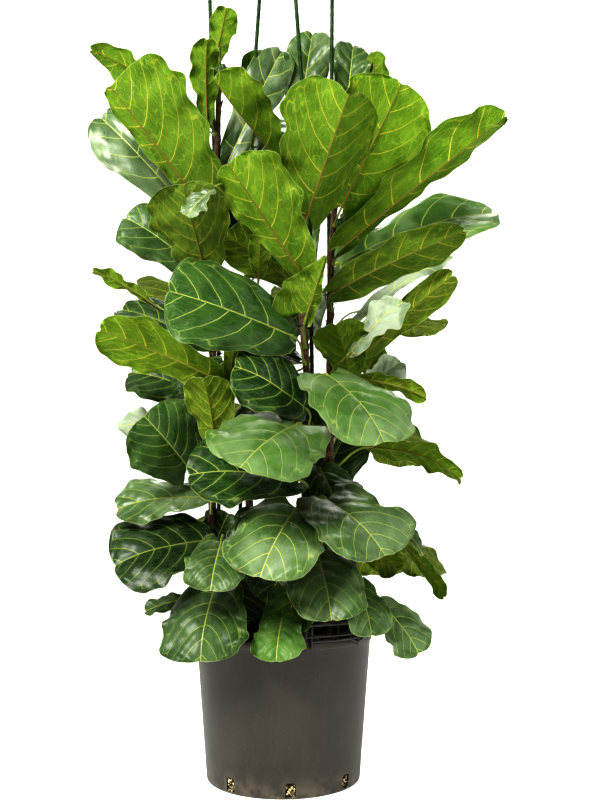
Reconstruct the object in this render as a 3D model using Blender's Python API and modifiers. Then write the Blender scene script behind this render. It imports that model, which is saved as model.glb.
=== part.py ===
"""A fiddle leaf fig: four stems tied to four stakes, in a round nursery pot with two rim grips.

Origin at the centre of the pot's underside, +Z up, -Y at the front, in metres.
"""

from collections import namedtuple
from math import atan2, cos, hypot, pi, radians, sin

import bmesh
import bpy
import numpy as np
from mathutils import Vector

# Driving dimensions, in metres.
POT_HEIGHT = 0.27
RIM_RADIUS = 0.17
FOOT_RADIUS = 0.1447
WALL = 0.0025
LIP_HEIGHT = 0.014
LIP_STEP = 0.003
SOIL_BELOW_RIM = 0.03
SLOT_WIDTH = 0.018
SLOT_HEIGHT = 0.028
STAKE_LENGTH = 1.5
STAKE_DIAMETER = 0.008
STEM_FOOT_DIAMETER = 0.018
STEM_TOP_DIAMETER = 0.011
LEAF_THICKNESS = 0.0012
PETIOLE_DIAMETER = 0.004
GRIP_BAR_DIAMETER = 0.005
TIE_DIAMETER = 0.0024
GAP = 0.0004

SLOT_COUNT = 8
SLOT_TURN = 6  # degrees from the front to the first drain slot
GRIP_TURNS = {"front": 33, "back": 213}  # degrees from the front, to the right
TURN_STEPS = 48
SOIL_HEIGHT = POT_HEIGHT - SOIL_BELOW_RIM
RIM_OF_LEAVES = 0.17  # the rim that the leaf places below are given for
RIM_GROWTH = RIM_RADIUS - RIM_OF_LEAVES  # leaves that hang over the rim move out with it
CM = 0.01

# The routes of the stems and stakes: (x, y, height above the soil), in centimetres.
STEMS = {
    "left": [(-12.5, 0, -6), (-14, 0.5, 20), (-14.5, 1, 55), (-14.5, 1.2, 86), (-14, 1.2, 106),
             (-14, 1.5, 121)],
    "back_left": [(-6, 8, -6), (-7.5, 7.5, 35), (-8, 7, 65), (-7.5, 6, 95), (-6, 7, 113)],
    "central": [(5, -4.5, -6), (5.2, -4.5, 38), (4.2, -4.5, 56), (3.5, -4.5, 66), (3.7, -4.5, 79),
                (4.2, -4.8, 91), (6.2, -3.2, 99), (6.3, 0, 104), (4.5, 3.5, 109)],
    "right": [(8.5, -1, -6), (9, -0.5, 36), (9.3, -0.5, 69), (10.1, -0.5, 86), (11.8, 0, 96),
              (12.4, 4.5, 111)],
}
STAKES = {
    "left": [(-12.8, 4.5, -14), (-13.7, 4.5, 66), (-15.7, 4.5, 118), (-16.4, 4.5, 136)],
    "back_left": [(-9.5, 4.2, -14), (-8.2, 4.2, 70), (-6.7, 4.2, 118), (-5.6, 4.2, 136)],
    "central": [(6.8, -2, -14), (5.7, -2, 39), (5.1, -2, 92), (2.4, -2, 130), (2.0, -2, 136)],
    "right": [(9.2, 3.5, -14), (9.2, 3.5, 88), (9.7, 3.5, 92), (10.1, 3.5, 136)],
}
TIES = {"central": (77, 62), "right": (69,), "left": (58,)}  # heights above the soil, in centimetres

Leaf = namedtuple("Leaf", "base tip width facing folds arch curl heart")

# Each stem's leaves, from the top down. A blade runs from its base to its tip: (x, y, height above the soil),
# then its width, in centimetres. Its upper face looks towards (turn to the right of the front, lift), and its
# left and right halves are folded up by the two folds, in degrees. Arch and curl are shares of its length.
# Heart is 0 on a blade with a narrow waist and 1 on one that is broad at its base.
LEAVES = {
    "left": (
        Leaf((-17, 2, 106), (-40.5, 6, 126), 7, (180, 55), (10, 10), 0.03, -0.1, 0.3),
        Leaf((-18, -10, 86.5), (-33.5, -16, 106.5), 19, (175, 15), (4, 35), 0.03, 0.04, 0.3),
        Leaf((-19, -3, 85.5), (-37.5, -5, 105.5), 13, (-35, 35), (15, 15), 0.05, -0.05, 0.3),
        Leaf((-17.5, -3, 74), (-31.5, -6, 84), 13, (-35, 35), (10, 10), 0.05, -0.05, 0.3),
        Leaf((-15, -12, 71.5), (-18.5, -20, 85), 15.5, (170, 10), (5, 5), 0.03, 0.1, 0.3),
        Leaf((-12.5, -10, 50.5), (-33.5, -18, 58.5), 11, (175, 35), (8, 8), 0.04, 0, 0.3),
        Leaf((-12.5, -12.5, 38.5), (-14, -18, 50), 10, (170, 15), (20, 20), 0.04, -0.08, 0.3),
        Leaf((-18, -8, 34), (-25, -15, 43), 15.5, (-15, 30), (12, 12), 0.04, -0.08, 0.7),
        Leaf((-15.5, -6, 28.5), (-31, -10, 27), 12, (-10, 45), (12, 12), 0.04, -0.08, 0.3),
        Leaf((-14.5, -10, 20.5), (-30, -16, 17), 17.5, (-20, 35), (12, 12), 0.04, -0.08, 0.6),
        Leaf((-11, -15, 20.5), (-12, -24, 13), 11, (0, 55), (12, 12), 0.04, -0.08, 0.5),
        Leaf((-12.5, -13, 11.5), (-14, -22, 1), 16.5, (-20, 38), (12, 12), 0.04, -0.08, 0.8),
    ),
    "back_left": (
        Leaf((0, -5, 94), (-14, -16, 107), 15, (150, 25), (5, 80), 0.03, 0.08, 0.3),
        Leaf((-11, 14, 94), (-20, 32, 106), 17, (30, 50), (10, 10), 0.04, -0.04, 0.3),
        Leaf((-10, 17, 49), (-18, 37, 42), 18, (-155, 50), (10, 10), 0.05, -0.06, 0.7),
        Leaf((-8, 17, 20), (-12, 33, 11), 17, (-160, 45), (10, 10), 0.05, -0.06, 0.7),
    ),
    "central": (
        Leaf((3, 7, 109), (6, 10, 131.5), 11, (0, 45), (20, 20), 0.04, 0, 0.3),
        Leaf((3, 13, 109), (5, 32, 121), 17, (-5, 45), (10, 10), 0.04, -0.04, 0.3),
        Leaf((4.5, -13, 81.5), (12.5, -24, 102), 21.5, (175, 20), (42, 5), 0.02, 0.08, 0.3),
        Leaf((3, 15, 74), (3, 35, 74), 17, (180, 70), (10, 10), 0.05, -0.06, 0.5),
        Leaf((3, -14, 70.5), (-9, -24, 87.5), 15, (180, 12), (6, 40), 0.02, 0.05, 0.3),
        Leaf((4.5, -15, 62), (8, -19, 72), 10, (175, 5), (20, 5), 0.02, 0, 1.0),
        Leaf((1, -13.5, 58.5), (-20, -24, 64.5), 18, (-5, 15), (6, 6), 0.03, -0.03, 0.3),
        Leaf((8.5, -12, 51), (18, -26, 38.5), 18.5, (14, 57), (6, 6), 0.04, -0.08, 0.9),
        Leaf((4, -12, 45), (-8, -20, 52), 15.5, (-10, 30), (12, 12), 0.04, -0.08, 0.3),
        Leaf((2.5, -16, 41.5), (-6.5, -33, 33.5), 19.5, (25, 58), (6, 6), 0.04, -0.05, 0.9),
        Leaf((2.5, -14, 31.5), (-16, -22, 33), 15, (-5, 35), (12, 12), 0.04, -0.08, 0.3),
        Leaf((8, -15.5, 28), (17.5, -28, 19.5), 17.5, (10, 48), (12, 12), 0.04, -0.08, 0.9),
        Leaf((2.5, -17, 26.5), (-3.5, -30, 16), 16.5, (-5, 45), (12, 12), 0.04, -0.08, 0.9),
        Leaf((6.5, -15, 18), (8.5, -26, 8.5), 14, (5, 45), (12, 12), 0.04, -0.08, 0.7),
        Leaf((0, -15, 7.5), (-1, -22, 1), 9.5, (-10, 35), (12, 12), 0.04, -0.08, 0.6),
    ),
    "right": (
        Leaf((17, 11, 94), (30, 25, 107), 17, (-45, 50), (10, 10), 0.04, -0.04, 0.3),
        Leaf((11.5, -5, 86), (23.5, -12, 109), 20, (190, 20), (6, 6), 0.02, 0.05, 0.3),
        Leaf((12, -5, 78), (44.5, -10, 103), 12.5, (160, 45), (50, 15), 0.03, 0.03, 0.3),
        Leaf((11.5, 7, 78), (45.5, 10, 91), 15, (5, 50), (12, 12), 0.05, -0.03, 0.3),
        Leaf((10, -6, 68.5), (34.5, -14, 78), 11.5, (170, 45), (10, 10), 0.05, 0.03, 0.3),
        Leaf((16.5, -2, 57.5), (33, -6, 72), 8, (165, 30), (30, 60), 0.04, -0.08, 0.3),
        Leaf((13, -5, 52), (10, -10, 61.5), 11, (170, 25), (20, 20), 0.04, -0.08, 0.3),
        Leaf((16, 12, 45), (29, 29, 37), 18, (145, 50), (10, 10), 0.05, -0.06, 0.7),
        Leaf((17.5, -6, 38), (33.5, -12, 32.5), 7, (175, 50), (12, 12), 0.08, -0.08, 0.3),
        Leaf((7, 6, 30), (13.5, 11, 43.5), 14, (10, 40), (12, 12), 0.04, -0.08, 0.5),
        Leaf((14, 13, 22), (21, 28, 12), 17, (155, 45), (10, 10), 0.05, -0.06, 0.7),
        Leaf((13.5, -10, 13), (16, -17, 4.5), 9, (15, 40), (12, 12), 0.04, -0.08, 0.3),
        Leaf((18.5, -4, 8.5), (25.5, -8, 0), 10, (15, 40), (12, 12), 0.04, -0.08, 0.3),
    ),
}

# Half of a blade's outline: at these shares of its length, half its width as a share of the widest.
BLADE_ROWS = (0.02, 0.16, 0.35, 0.54, 0.72, 0.88, 0.97, 1.0)
WAIST_OUTLINE = (0.26, 0.54, 0.69, 0.90, 1.00, 0.84, 0.46, 0.16)
HEART_OUTLINE = (0.56, 0.81, 0.94, 1.00, 0.98, 0.79, 0.44, 0.16)
HALF_COLUMNS = 2
PETIOLE_ROWS = 2


def clear_scene():
    for obj in list(bpy.data.objects):
        bpy.data.objects.remove(obj, do_unlink=True)


def new_collection(name):
    collection = bpy.data.collections.new(name)
    bpy.context.scene.collection.children.link(collection)
    return collection


def material(name, color, roughness):
    made = bpy.data.materials.new(name)
    made.use_nodes = True
    made.diffuse_color = (*color, 1)
    shader = made.node_tree.nodes["Principled BSDF"]
    shader.inputs["Base Color"].default_value = (*color, 1)
    shader.inputs["Roughness"].default_value = roughness
    return made


def add_object(name, data, collection):
    obj = bpy.data.objects.new(name, data)
    collection.objects.link(obj)
    return obj


def place(x, y, height):
    """A point given in centimetres, its height taken from the soil."""
    return Vector((x * CM, y * CM, SOIL_HEIGHT + height * CM))


def around(turn, radius, height):
    """The point at this turn from the front, in degrees to the right."""
    return Vector((radius * sin(radians(turn)), -radius * cos(radians(turn)), height))


def tube(name, points, radii, collection, resolution=2, closed=False):
    curve = bpy.data.curves.new(name, "CURVE")
    curve.dimensions = "3D"
    curve.bevel_depth = 1.0
    curve.bevel_resolution = resolution
    curve.use_fill_caps = True
    spline = curve.splines.new("POLY")
    spline.points.add(len(points) - 1)
    spline.use_cyclic_u = closed
    for point, co, radius in zip(spline.points, points, radii):
        point.co = (*co, 1)
        point.radius = radius
    return add_object(name, curve, collection)


def to_mesh(obj):
    """The curve's mesh, with the caps welded on, in the curve's place."""
    bpy.context.view_layer.update()
    graph = bpy.context.evaluated_depsgraph_get()
    mesh = bpy.data.meshes.new_from_object(obj.evaluated_get(graph))
    work = bmesh.new()
    work.from_mesh(mesh)
    bmesh.ops.remove_doubles(work, verts=work.verts, dist=1e-5)
    bmesh.ops.recalc_face_normals(work, faces=work.faces)
    work.to_mesh(mesh)
    work.free()
    name, matrix, collection = obj.name, obj.matrix_world.copy(), obj.users_collection[0]
    bpy.data.objects.remove(obj, do_unlink=True)
    made = add_object(name, mesh, collection)
    made.matrix_world = matrix
    return made


def turned(name, profile, collection):
    """A solid of revolution from a profile of (radius, height) that runs from axis to axis."""
    mesh = bpy.data.meshes.new(name)
    corners = [(radius, 0, height) for radius, height in profile]
    mesh.from_pydata(corners, [(i, i + 1) for i in range(len(corners) - 1)], [])
    obj = add_object(name, mesh, collection)
    screw = obj.modifiers.new("Turn", "SCREW")
    screw.steps = screw.render_steps = TURN_STEPS
    screw.use_merge_vertices = True
    screw.merge_threshold = 0.0001
    screw.use_smooth_shade = True
    return obj


def cut(obj, cutter, operation="DIFFERENCE"):
    modifier = obj.modifiers.new(cutter.name, "BOOLEAN")
    modifier.object = cutter
    modifier.operation = operation
    modifier.solver = "MANIFOLD"
    cutter.hide_render = True
    cutter.display_type = "WIRE"


def wall_radius(height):
    """The outer radius of the pot's tapered wall."""
    share = height / (POT_HEIGHT - LIP_HEIGHT)
    return FOOT_RADIUS + (RIM_RADIUS - LIP_STEP - FOOT_RADIUS) * min(share, 1)


def make_pot(parts, cutters):
    lip_foot = POT_HEIGHT - LIP_HEIGHT
    profile = [
        (0, WALL),
        (FOOT_RADIUS - 2 * WALL, WALL),
        (wall_radius(4 * WALL) - WALL, 4 * WALL),
        (wall_radius(lip_foot) - WALL, lip_foot),
        (wall_radius(lip_foot) - WALL, POT_HEIGHT - WALL / 2),
        (wall_radius(lip_foot) - WALL / 2, POT_HEIGHT),
        (RIM_RADIUS - WALL / 2, POT_HEIGHT),
        (RIM_RADIUS, POT_HEIGHT - WALL / 2),
        (RIM_RADIUS, lip_foot),
        (wall_radius(lip_foot), lip_foot - WALL / 2),
        (FOOT_RADIUS, 2 * WALL),
        (FOOT_RADIUS - WALL, 0),
        (0, 0),
    ]
    pot = turned("pot", profile, parts)
    for i in range(SLOT_COUNT):
        bpy.ops.mesh.primitive_cube_add(size=1)
        slot = bpy.context.object
        slot.name = f"drain_slot_{i + 1}"
        for collection in slot.users_collection:
            collection.objects.unlink(slot)
        cutters.objects.link(slot)
        turn = SLOT_TURN + i * 360 / SLOT_COUNT
        slot.scale = (SLOT_WIDTH, 6 * WALL, SLOT_HEIGHT)
        slot.location = around(turn, FOOT_RADIUS, 1.5 * WALL + SLOT_HEIGHT / 2)
        slot.rotation_euler.z = radians(turn)
        cut(pot, slot)
    return pot


def make_soil(parts, cutters):
    edge = SOIL_HEIGHT - 0.002
    inner = wall_radius(edge) - WALL - GAP
    profile = [
        (0, SOIL_HEIGHT + 0.004),
        (0.6 * inner, SOIL_HEIGHT + 0.001),
        (0.92 * inner, SOIL_HEIGHT - 0.004),
        (inner, edge),
        (wall_radius(5 * WALL) - WALL - GAP, 5 * WALL),
        (FOOT_RADIUS - 2.5 * WALL - GAP, WALL + GAP),
        (0, WALL + GAP),
    ]
    soil = turned("soil_and_roots", profile, parts)
    rods = (("stem", STEMS, STEM_FOOT_DIAMETER / 2), ("stake", STAKES, STAKE_DIAMETER / 2))
    for kind, routes, radius in rods:
        for name, route in routes.items():
            foot = place(*route[0])
            above = foot + (place(*route[1]) - foot) * 0.5
            below = foot + (foot - above).normalized() * GAP * 2
            width = [radius + 2 * GAP] * 2
            hole = to_mesh(tube(f"{name}_{kind}_hole", [below, above], width, cutters))
            cut(soil, hole)
    return soil


def make_stem(name, route, parts):
    points = [place(*at) for at in route]
    radii = []
    for at in route:
        share = max(at[2], 0) / max(route[-1][2], 1)
        radii.append((STEM_FOOT_DIAMETER + (STEM_TOP_DIAMETER - STEM_FOOT_DIAMETER) * share) / 2)
    return to_mesh(tube(f"{name}_stem", points, radii, parts))


def make_stake(name, route, parts):
    foot, head = place(*route[0]), place(*route[-1])
    stretch = STAKE_LENGTH / (head - foot).length
    points = [foot + (place(*at) - foot) * stretch for at in route]
    return to_mesh(tube(f"{name}_stake", points, [STAKE_DIAMETER / 2] * len(points), parts))


def along(route, height):
    """The route's point at this height above the soil, in centimetres."""
    for low, high in zip(route, route[1:]):
        if height <= high[2]:
            break
    share = (height - low[2]) / (high[2] - low[2])
    return Vector([a + (b - a) * share for a, b in zip(low, high)])


def make_tie(name, height, stem, stake, parts):
    """A loop around a stem and its stake: a half circle about each, joined by the straight sides."""
    first, second = along(STEMS[stem], height), along(STAKES[stake], height)
    way = atan2(second.y - first.y, second.x - first.x)
    rounds = ((first, STEM_FOOT_DIAMETER / 2, pi), (second, STAKE_DIAMETER / 2, 0))
    points = []
    for centre, radius, start in rounds:
        reach = radius + TIE_DIAMETER / 2 + 3 * GAP
        for step in range(7):
            angle = way + start - pi / 2 + pi * step / 6
            points.append(place(*centre) + Vector((reach * cos(angle), reach * sin(angle), 0)))
    return to_mesh(tube(name, points, [TIE_DIAMETER / 2] * len(points), parts, 0, closed=True))


def make_grip(side, turn, parts, cutters):
    """An arched frame of round bars that follows the rim, with two hooks over it and a short arm."""
    bar = GRIP_BAR_DIAMETER / 2
    outside = RIM_RADIUS + bar + GAP
    inside = wall_radius(POT_HEIGHT) - WALL - bar - 2 * GAP
    over = POT_HEIGHT + bar + GAP

    def bent(marks, radius=outside):
        return [around(turn + mark, radius, POT_HEIGHT + height) for mark, height in marks]

    def hook(mark):
        return [around(turn + mark, outside, over + 0.004), around(turn + mark, inside, over),
                around(turn + mark, inside, POT_HEIGHT - 0.010)]

    frame = [(-19, -0.016), (-19, 0.028), (-10, 0.029), (0, 0.029), (10, 0.029), (19, 0.028), (19, -0.013)]
    bars = [
        bent([(-15.5, -0.014), (-15.5, 0.029)]),
        bent([(-20, 0.0085), (-10, 0.009), (0, 0.009), (10, 0.009), (20, 0.0085)]),
        bent([(-16, 0.0005), (-5, 0.001), (8, 0.001), (20, 0.0005)]),
        bent([(11, 0.001), (19.5, -0.010)]),
        bent([(18, -0.008), (24, -0.003), (31, -0.001), (33, -0.006)]),
        hook(-12),
        hook(12),
    ]
    grip = to_mesh(tube(f"rim_grip_{side}", bent(frame), [bar] * len(frame), parts, 1))
    for i, points in enumerate(bars):
        piece = to_mesh(tube(f"rim_grip_{side}_bar_{i + 1}", points, [bar * 0.92] * len(points), cutters, 1))
        cut(grip, piece, "UNION")
    return grip


def unit(vector):
    return vector / np.linalg.norm(vector)


def blade_axes(leaf):
    """The blade's base and span, and the unit vectors along it, out of its upper face and across it."""
    base, tip = np.array(place(*leaf.base)), np.array(place(*leaf.tip))
    if tip[2] < POT_HEIGHT + 0.02:
        outward = unit(np.array([base[0], base[1], 0]))
        base, tip = base + outward * RIM_GROWTH, tip + outward * RIM_GROWTH
    span = tip - base
    turn, lift = radians(leaf.facing[0]), radians(leaf.facing[1])
    facing = np.array([sin(turn) * cos(lift), -cos(turn) * cos(lift), sin(lift)])
    forward = unit(span)
    up = unit(facing - (facing @ forward) * forward)
    return base, span, forward, up, np.cross(forward, up)


def blade_point(leaf, row, side):
    """The blade's point on this row, from -1 at its left edge to 1 at its right edge.

    The midrib rises by its arch, then lifts by its curl past the middle. Each half leaves the midrib at its
    fold and droops a little towards the edge. The lobes at the base reach back past the petiole.
    """
    base, span, forward, up, across = blade_axes(leaf)
    u = BLADE_ROWS[row]
    length = np.linalg.norm(span)
    outline = WAIST_OUTLINE[row] + leaf.heart * (HEART_OUTLINE[row] - WAIST_OUTLINE[row])
    half = leaf.width * CM / 2 * outline * abs(side)
    fold = radians(leaf.folds[side > 0] - 8 * abs(side))
    rise = leaf.arch * 4 * u * (1 - u) + leaf.curl * max(0, (u - 0.55) / 0.45) ** 2
    lobe = (0.04 + 0.16 * leaf.heart) * abs(side) ** 1.5 * max(0, 1 - u / 0.3) ** 2
    middle = base + span * u + up * length * rise
    sideways = np.sign(side) * half * cos(fold)
    return middle + across * sideways + up * half * sin(fold) - forward * length * lobe


def petiole_rows(leaf, stem):
    """Points and their sideways vectors along the petiole, from the stem's skin to the blade's base."""
    base, span, forward, up, across = blade_axes(leaf)
    route = STEMS[stem]
    reach = hypot(*(np.array(leaf.base[:2]) - np.array(route[0][:2])))
    height = min(leaf.base[2] - 0.35 * reach - 1, route[-1][2] - 1)
    centre = along(route, height)
    root = np.array(place(*centre))
    outward = unit(np.array([base[0] - root[0], base[1] - root[1], 0.01]))
    root = root + outward * (STEM_FOOT_DIAMETER / 2 + PETIOLE_DIAMETER / 2 + GAP)
    leaves_blade = unit(span + up * np.linalg.norm(span) * 4 * leaf.arch)
    bow = 0.4 * np.linalg.norm(base - root)
    handles = (root, root + unit(outward + np.array([0, 0, 0.5])) * bow, base - leaves_blade * bow, base)
    rows = []
    for row in range(PETIOLE_ROWS):
        t = row / PETIOLE_ROWS
        weights = ((1 - t) ** 3, 3 * (1 - t) ** 2 * t, 3 * (1 - t) * t * t, t ** 3)
        point = sum(weight * handle for weight, handle in zip(weights, handles))
        rows.append((point, across * PETIOLE_DIAMETER / 2))
    return rows


def make_leaf(name, leaf, stem, parts):
    """A grid bent into the petiole and the blade, made solid: thick at the petiole, thin in the blade."""
    stalk = petiole_rows(leaf, stem)
    last = PETIOLE_ROWS + len(BLADE_ROWS) - 1
    work = bmesh.new()
    bmesh.ops.create_grid(work, x_segments=2 * HALF_COLUMNS, y_segments=last, size=1)
    for vert in work.verts:
        row, side = round((vert.co.y + 1) / 2 * last), vert.co.x
        if row < PETIOLE_ROWS:
            point, sideways = stalk[row]
            vert.co = point + sideways * side
        else:
            vert.co = blade_point(leaf, row - PETIOLE_ROWS, side)
    mesh = bpy.data.meshes.new(name)
    work.to_mesh(mesh)
    work.free()
    obj = add_object(name, mesh, parts)
    thick = obj.vertex_groups.new(name="petiole")
    columns = 2 * HALF_COLUMNS + 1
    thick.add(list(range(PETIOLE_ROWS * columns)), 1.0, "REPLACE")
    solid = obj.modifiers.new("Thickness", "SOLIDIFY")
    solid.thickness = PETIOLE_DIAMETER
    solid.offset = 0
    solid.vertex_group = thick.name
    solid.thickness_vertex_group = LEAF_THICKNESS / PETIOLE_DIAMETER
    return obj


def finish(objects, look):
    for obj in objects:
        obj.data.materials.append(look)
        obj.data.shade_smooth()


def main():
    clear_scene()
    parts = new_collection("potted_fiddle_leaf_fig")
    cutters = new_collection("cutters")
    black_plastic = material("black_plastic", (0.052, 0.046, 0.039), 0.45)
    finish([make_pot(parts, cutters)], black_plastic)
    finish([make_soil(parts, cutters)], material("substrate", (0.035, 0.022, 0.014), 0.95))
    grips = [make_grip(side, turn, parts, cutters) for side, turn in GRIP_TURNS.items()]
    finish(grips, material("grip_plastic", (0.012, 0.012, 0.012), 0.4))
    stems = [make_stem(name, route, parts) for name, route in STEMS.items()]
    finish(stems, material("bark", (0.060, 0.040, 0.022), 0.85))
    stakes = [make_stake(name, route, parts) for name, route in STAKES.items()]
    finish(stakes, material("stake_green", (0.018, 0.070, 0.030), 0.5))
    ties = []
    for side, heights in TIES.items():
        for height in heights:
            ties.append(make_tie(f"{side}_tie_{len(ties) + 1}", height, side, side, parts))
    finish(ties, material("tie_black", (0.010, 0.010, 0.010), 0.6))
    leaves = []
    for stem, grown in LEAVES.items():
        for number, leaf in enumerate(grown, start=1):
            leaves.append(make_leaf(f"{stem}_leaf_{number}", leaf, stem, parts))
    finish(leaves, material("leaf", (0.035, 0.130, 0.030), 0.4))


main()
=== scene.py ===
from math import pi, radians
import bpy
import numpy as np
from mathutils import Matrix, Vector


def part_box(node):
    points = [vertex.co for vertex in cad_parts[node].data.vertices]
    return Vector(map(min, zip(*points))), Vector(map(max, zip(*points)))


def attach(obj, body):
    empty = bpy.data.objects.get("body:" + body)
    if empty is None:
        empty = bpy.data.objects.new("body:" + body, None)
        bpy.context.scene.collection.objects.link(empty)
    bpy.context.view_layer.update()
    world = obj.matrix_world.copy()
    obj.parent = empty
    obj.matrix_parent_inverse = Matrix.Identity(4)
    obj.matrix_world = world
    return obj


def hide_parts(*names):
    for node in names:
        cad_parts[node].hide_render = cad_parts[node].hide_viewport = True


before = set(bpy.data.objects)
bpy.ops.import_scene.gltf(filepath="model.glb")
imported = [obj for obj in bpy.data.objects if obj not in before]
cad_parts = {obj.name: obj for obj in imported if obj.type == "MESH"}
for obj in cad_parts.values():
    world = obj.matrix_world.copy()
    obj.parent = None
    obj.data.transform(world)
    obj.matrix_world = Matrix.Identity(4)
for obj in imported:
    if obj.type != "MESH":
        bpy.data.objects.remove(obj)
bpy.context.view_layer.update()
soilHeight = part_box("soil_and_roots")[1][2] - 0.004
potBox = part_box("pot")
rimHeight, rimRadius = potBox[1][2], potBox[1][0]
print("frame loaded:", len(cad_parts), "parts")


# shader maths: a socket that can be added, multiplied and so on

class Value:
    def __init__(self, finish, socket):
        self.finish, self.socket = finish, socket

    def maths(self, kind, *others):
        return self.finish.node("Math", {"operation": kind}, dict(enumerate((self,) + others)))

    def __add__(self, other): return self.maths("ADD", other)
    def __radd__(self, other): return self.maths("ADD", other)
    def __mul__(self, other): return self.maths("MULTIPLY", other)
    def __rmul__(self, other): return self.maths("MULTIPLY", other)
    def __sub__(self, other): return self.maths("SUBTRACT", other)
    def __rsub__(self, other): return (self * -1.0).maths("ADD", other)
    def __abs__(self): return self.maths("ABSOLUTE")
    def whole(self): return self.maths("FRACT")
    def most(self, other): return self.maths("MAXIMUM", other)
    def least(self, other): return self.maths("MINIMUM", other)

    def step(self, low, high, start=0.0, end=1.0):  # a smooth rise from low to high; low may be the larger
        return self.finish.node("MapRange", {"interpolation_type": "SMOOTHSTEP"},
                                {0: self, 1: low, 2: high, 3: start, 4: end})


class Finish:
    def __init__(self, name, owner=None):
        self.owner = owner or bpy.data.materials.new(name)
        self.owner.use_nodes = True
        self.tree = self.owner.node_tree
        self.tree.nodes.clear()

    # any node: its type, its settings (set first), then the values or links of its sockets
    def node(self, kind, settings=None, sockets=None, output=0):
        made = self.tree.nodes.new("ShaderNode" + kind)
        for key, setting in (settings or {}).items():
            setattr(made, key, setting)
        for key, value in (sockets or {}).items():
            if isinstance(value, Value):
                self.tree.links.new(value.socket, made.inputs[key])
            else:
                made.inputs[key].default_value = value
        return Value(self, made.outputs[output])

    def mix(self, share, first, second, blend="MIX"):
        first = (*first, 1) if isinstance(first, tuple) else first
        second = (*second, 1) if isinstance(second, tuple) else second
        return self.node("Mix", {"data_type": "RGBA", "blend_type": blend}, {0: share, 6: first, 7: second}, 2)

    def places(self):
        return self.node("TexCoord", output=3)

    def stored(self, name):  # the three numbers of a vector attribute
        vector = self.node("Attribute", {"attribute_name": name}, output=1)
        split = self.node("SeparateXYZ", sockets={0: vector})
        return [Value(self, split.socket.node.outputs[i]) for i in range(3)]

    def stretched(self, vector, scale):
        return self.node("Mapping", sockets={0: vector, 3: scale})

    def noise(self, vector, scale, detail=3.0, rough=0.55):
        return self.node("TexNoise", sockets={"Vector": vector, "Scale": scale, "Detail": detail,
                                              "Roughness": rough})

    def cells(self, vector, scale, feature="F1"):
        return self.node("TexVoronoi", {"feature": feature}, {"Vector": vector, "Scale": scale})

    def bump(self, height, strength, distance):
        return self.node("Bump", sockets={"Height": height, "Strength": strength, "Distance": distance})

    def surface(self, color, rough, bump, specular=0.5, **more):
        return self.node("BsdfPrincipled", sockets={"Base Color": color, "Roughness": rough, "Normal": bump,
                                                    "Specular IOR Level": specular, **more})

    def done(self, shader, kind="Material"):
        out = self.tree.nodes.new("ShaderNodeOutput" + kind)
        self.tree.links.new(shader.socket, out.inputs["Surface"])
        return self.owner


# meshes

def gridFaces(rows, columns, joined=False):
    row, column = np.meshgrid(np.arange(rows - 1), np.arange(columns if joined else columns - 1), indexing="ij")
    after = (column + 1) % columns
    a, b = row * columns + column, row * columns + after
    return np.stack([a, b, b + columns, a + columns], -1).reshape(-1, 4)


# the faces of a sheet that has a front, a back turned the other way, and a strip round its edge
def sheetFaces(rows, columns):
    flat = np.arange(rows * columns).reshape(rows, columns)
    border = np.concatenate([flat[0, :-1], flat[:-1, -1], flat[-1, :0:-1], flat[:0:-1, 0]])
    after, front = np.roll(border, -1), gridFaces(rows, columns)
    return np.vstack([front, front[:, ::-1] + flat.size,
                      np.stack([after, border, border + flat.size, after + flat.size], -1)])


def across(vectors):
    return vectors / np.maximum(np.linalg.norm(vectors, axis=-1, keepdims=True), 1e-12)


# points at even shares of a Catmull-Rom curve through the route's points: each stretch is a cubic whose
# slope at a point is half the way between that point's neighbours
def smoothRoute(route, count):
    route = np.array(route, float)
    padded = np.vstack([2 * route[0] - route[1], route, 2 * route[-1] - route[-2]])
    t = np.linspace(0, len(route) - 1, count)
    i = np.minimum(t.astype(int), len(route) - 2)
    f = (t - i)[:, None]
    p0, p1, p2, p3 = (padded[i + k] for k in range(4))
    return 0.5 * (2 * p1 + (p2 - p0) * f + (2 * p0 - 5 * p1 + 4 * p2 - p3) * f ** 2
                  + (3 * p1 - p0 - 3 * p2 + p3) * f ** 3)


# rings about a path: each point is the path's point plus its radius times (cos a, sin a) in the plane
# across the path; radii may be one number for each ring, or one for each ring and angle
def ringsAlong(path, radii, sides, side=(1.0, 0.0, 0.0), flat=1.0):
    path = np.array(path, float)
    tangent = across(np.gradient(path, axis=0))
    first = np.array(side) - (tangent @ np.array(side))[:, None] * tangent
    first = across(first)
    second = np.cross(tangent, first)
    angle = np.linspace(0, 2 * pi, sides, endpoint=False)
    radii = np.array(radii, float)
    radii = np.broadcast_to(radii[:, None] if radii.ndim == 1 else radii, (len(path), sides))
    return (path[:, None] + first[:, None] * (radii * np.cos(angle))[..., None]
            + second[:, None] * (radii * flat * np.sin(angle))[..., None])


# a tube closed at both ends by a fan to the middle of its first and last ring
def tubePart(rings, **stored):
    rows, sides = rings.shape[:2]
    points = np.vstack([rings.reshape(-1, 3), rings[0].mean(0), rings[-1].mean(0)])
    ring = np.arange(sides)
    after = (ring + 1) % sides
    start, end = rows * sides, rows * sides + 1
    low = np.stack([np.full(sides, start), after, ring], -1)
    high = np.stack([np.full(sides, end), ring, after], -1) + np.array([0, 1, 1]) * (rows - 1) * sides
    part = {"points": points, "quads": gridFaces(rows, sides, True), "tris": np.vstack([low, high])}
    part.update({key: fill(value, rings, points) for key, value in stored.items()})
    return part


# one value for all points, or one for each ring
def fill(value, rings, points):
    value = np.array(value, float)
    if value.ndim == 1:
        return np.tile(value, (len(points), 1))
    rows = np.repeat(value, rings.shape[1], axis=0)
    return np.vstack([rows, value[0], value[-1]])


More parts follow.
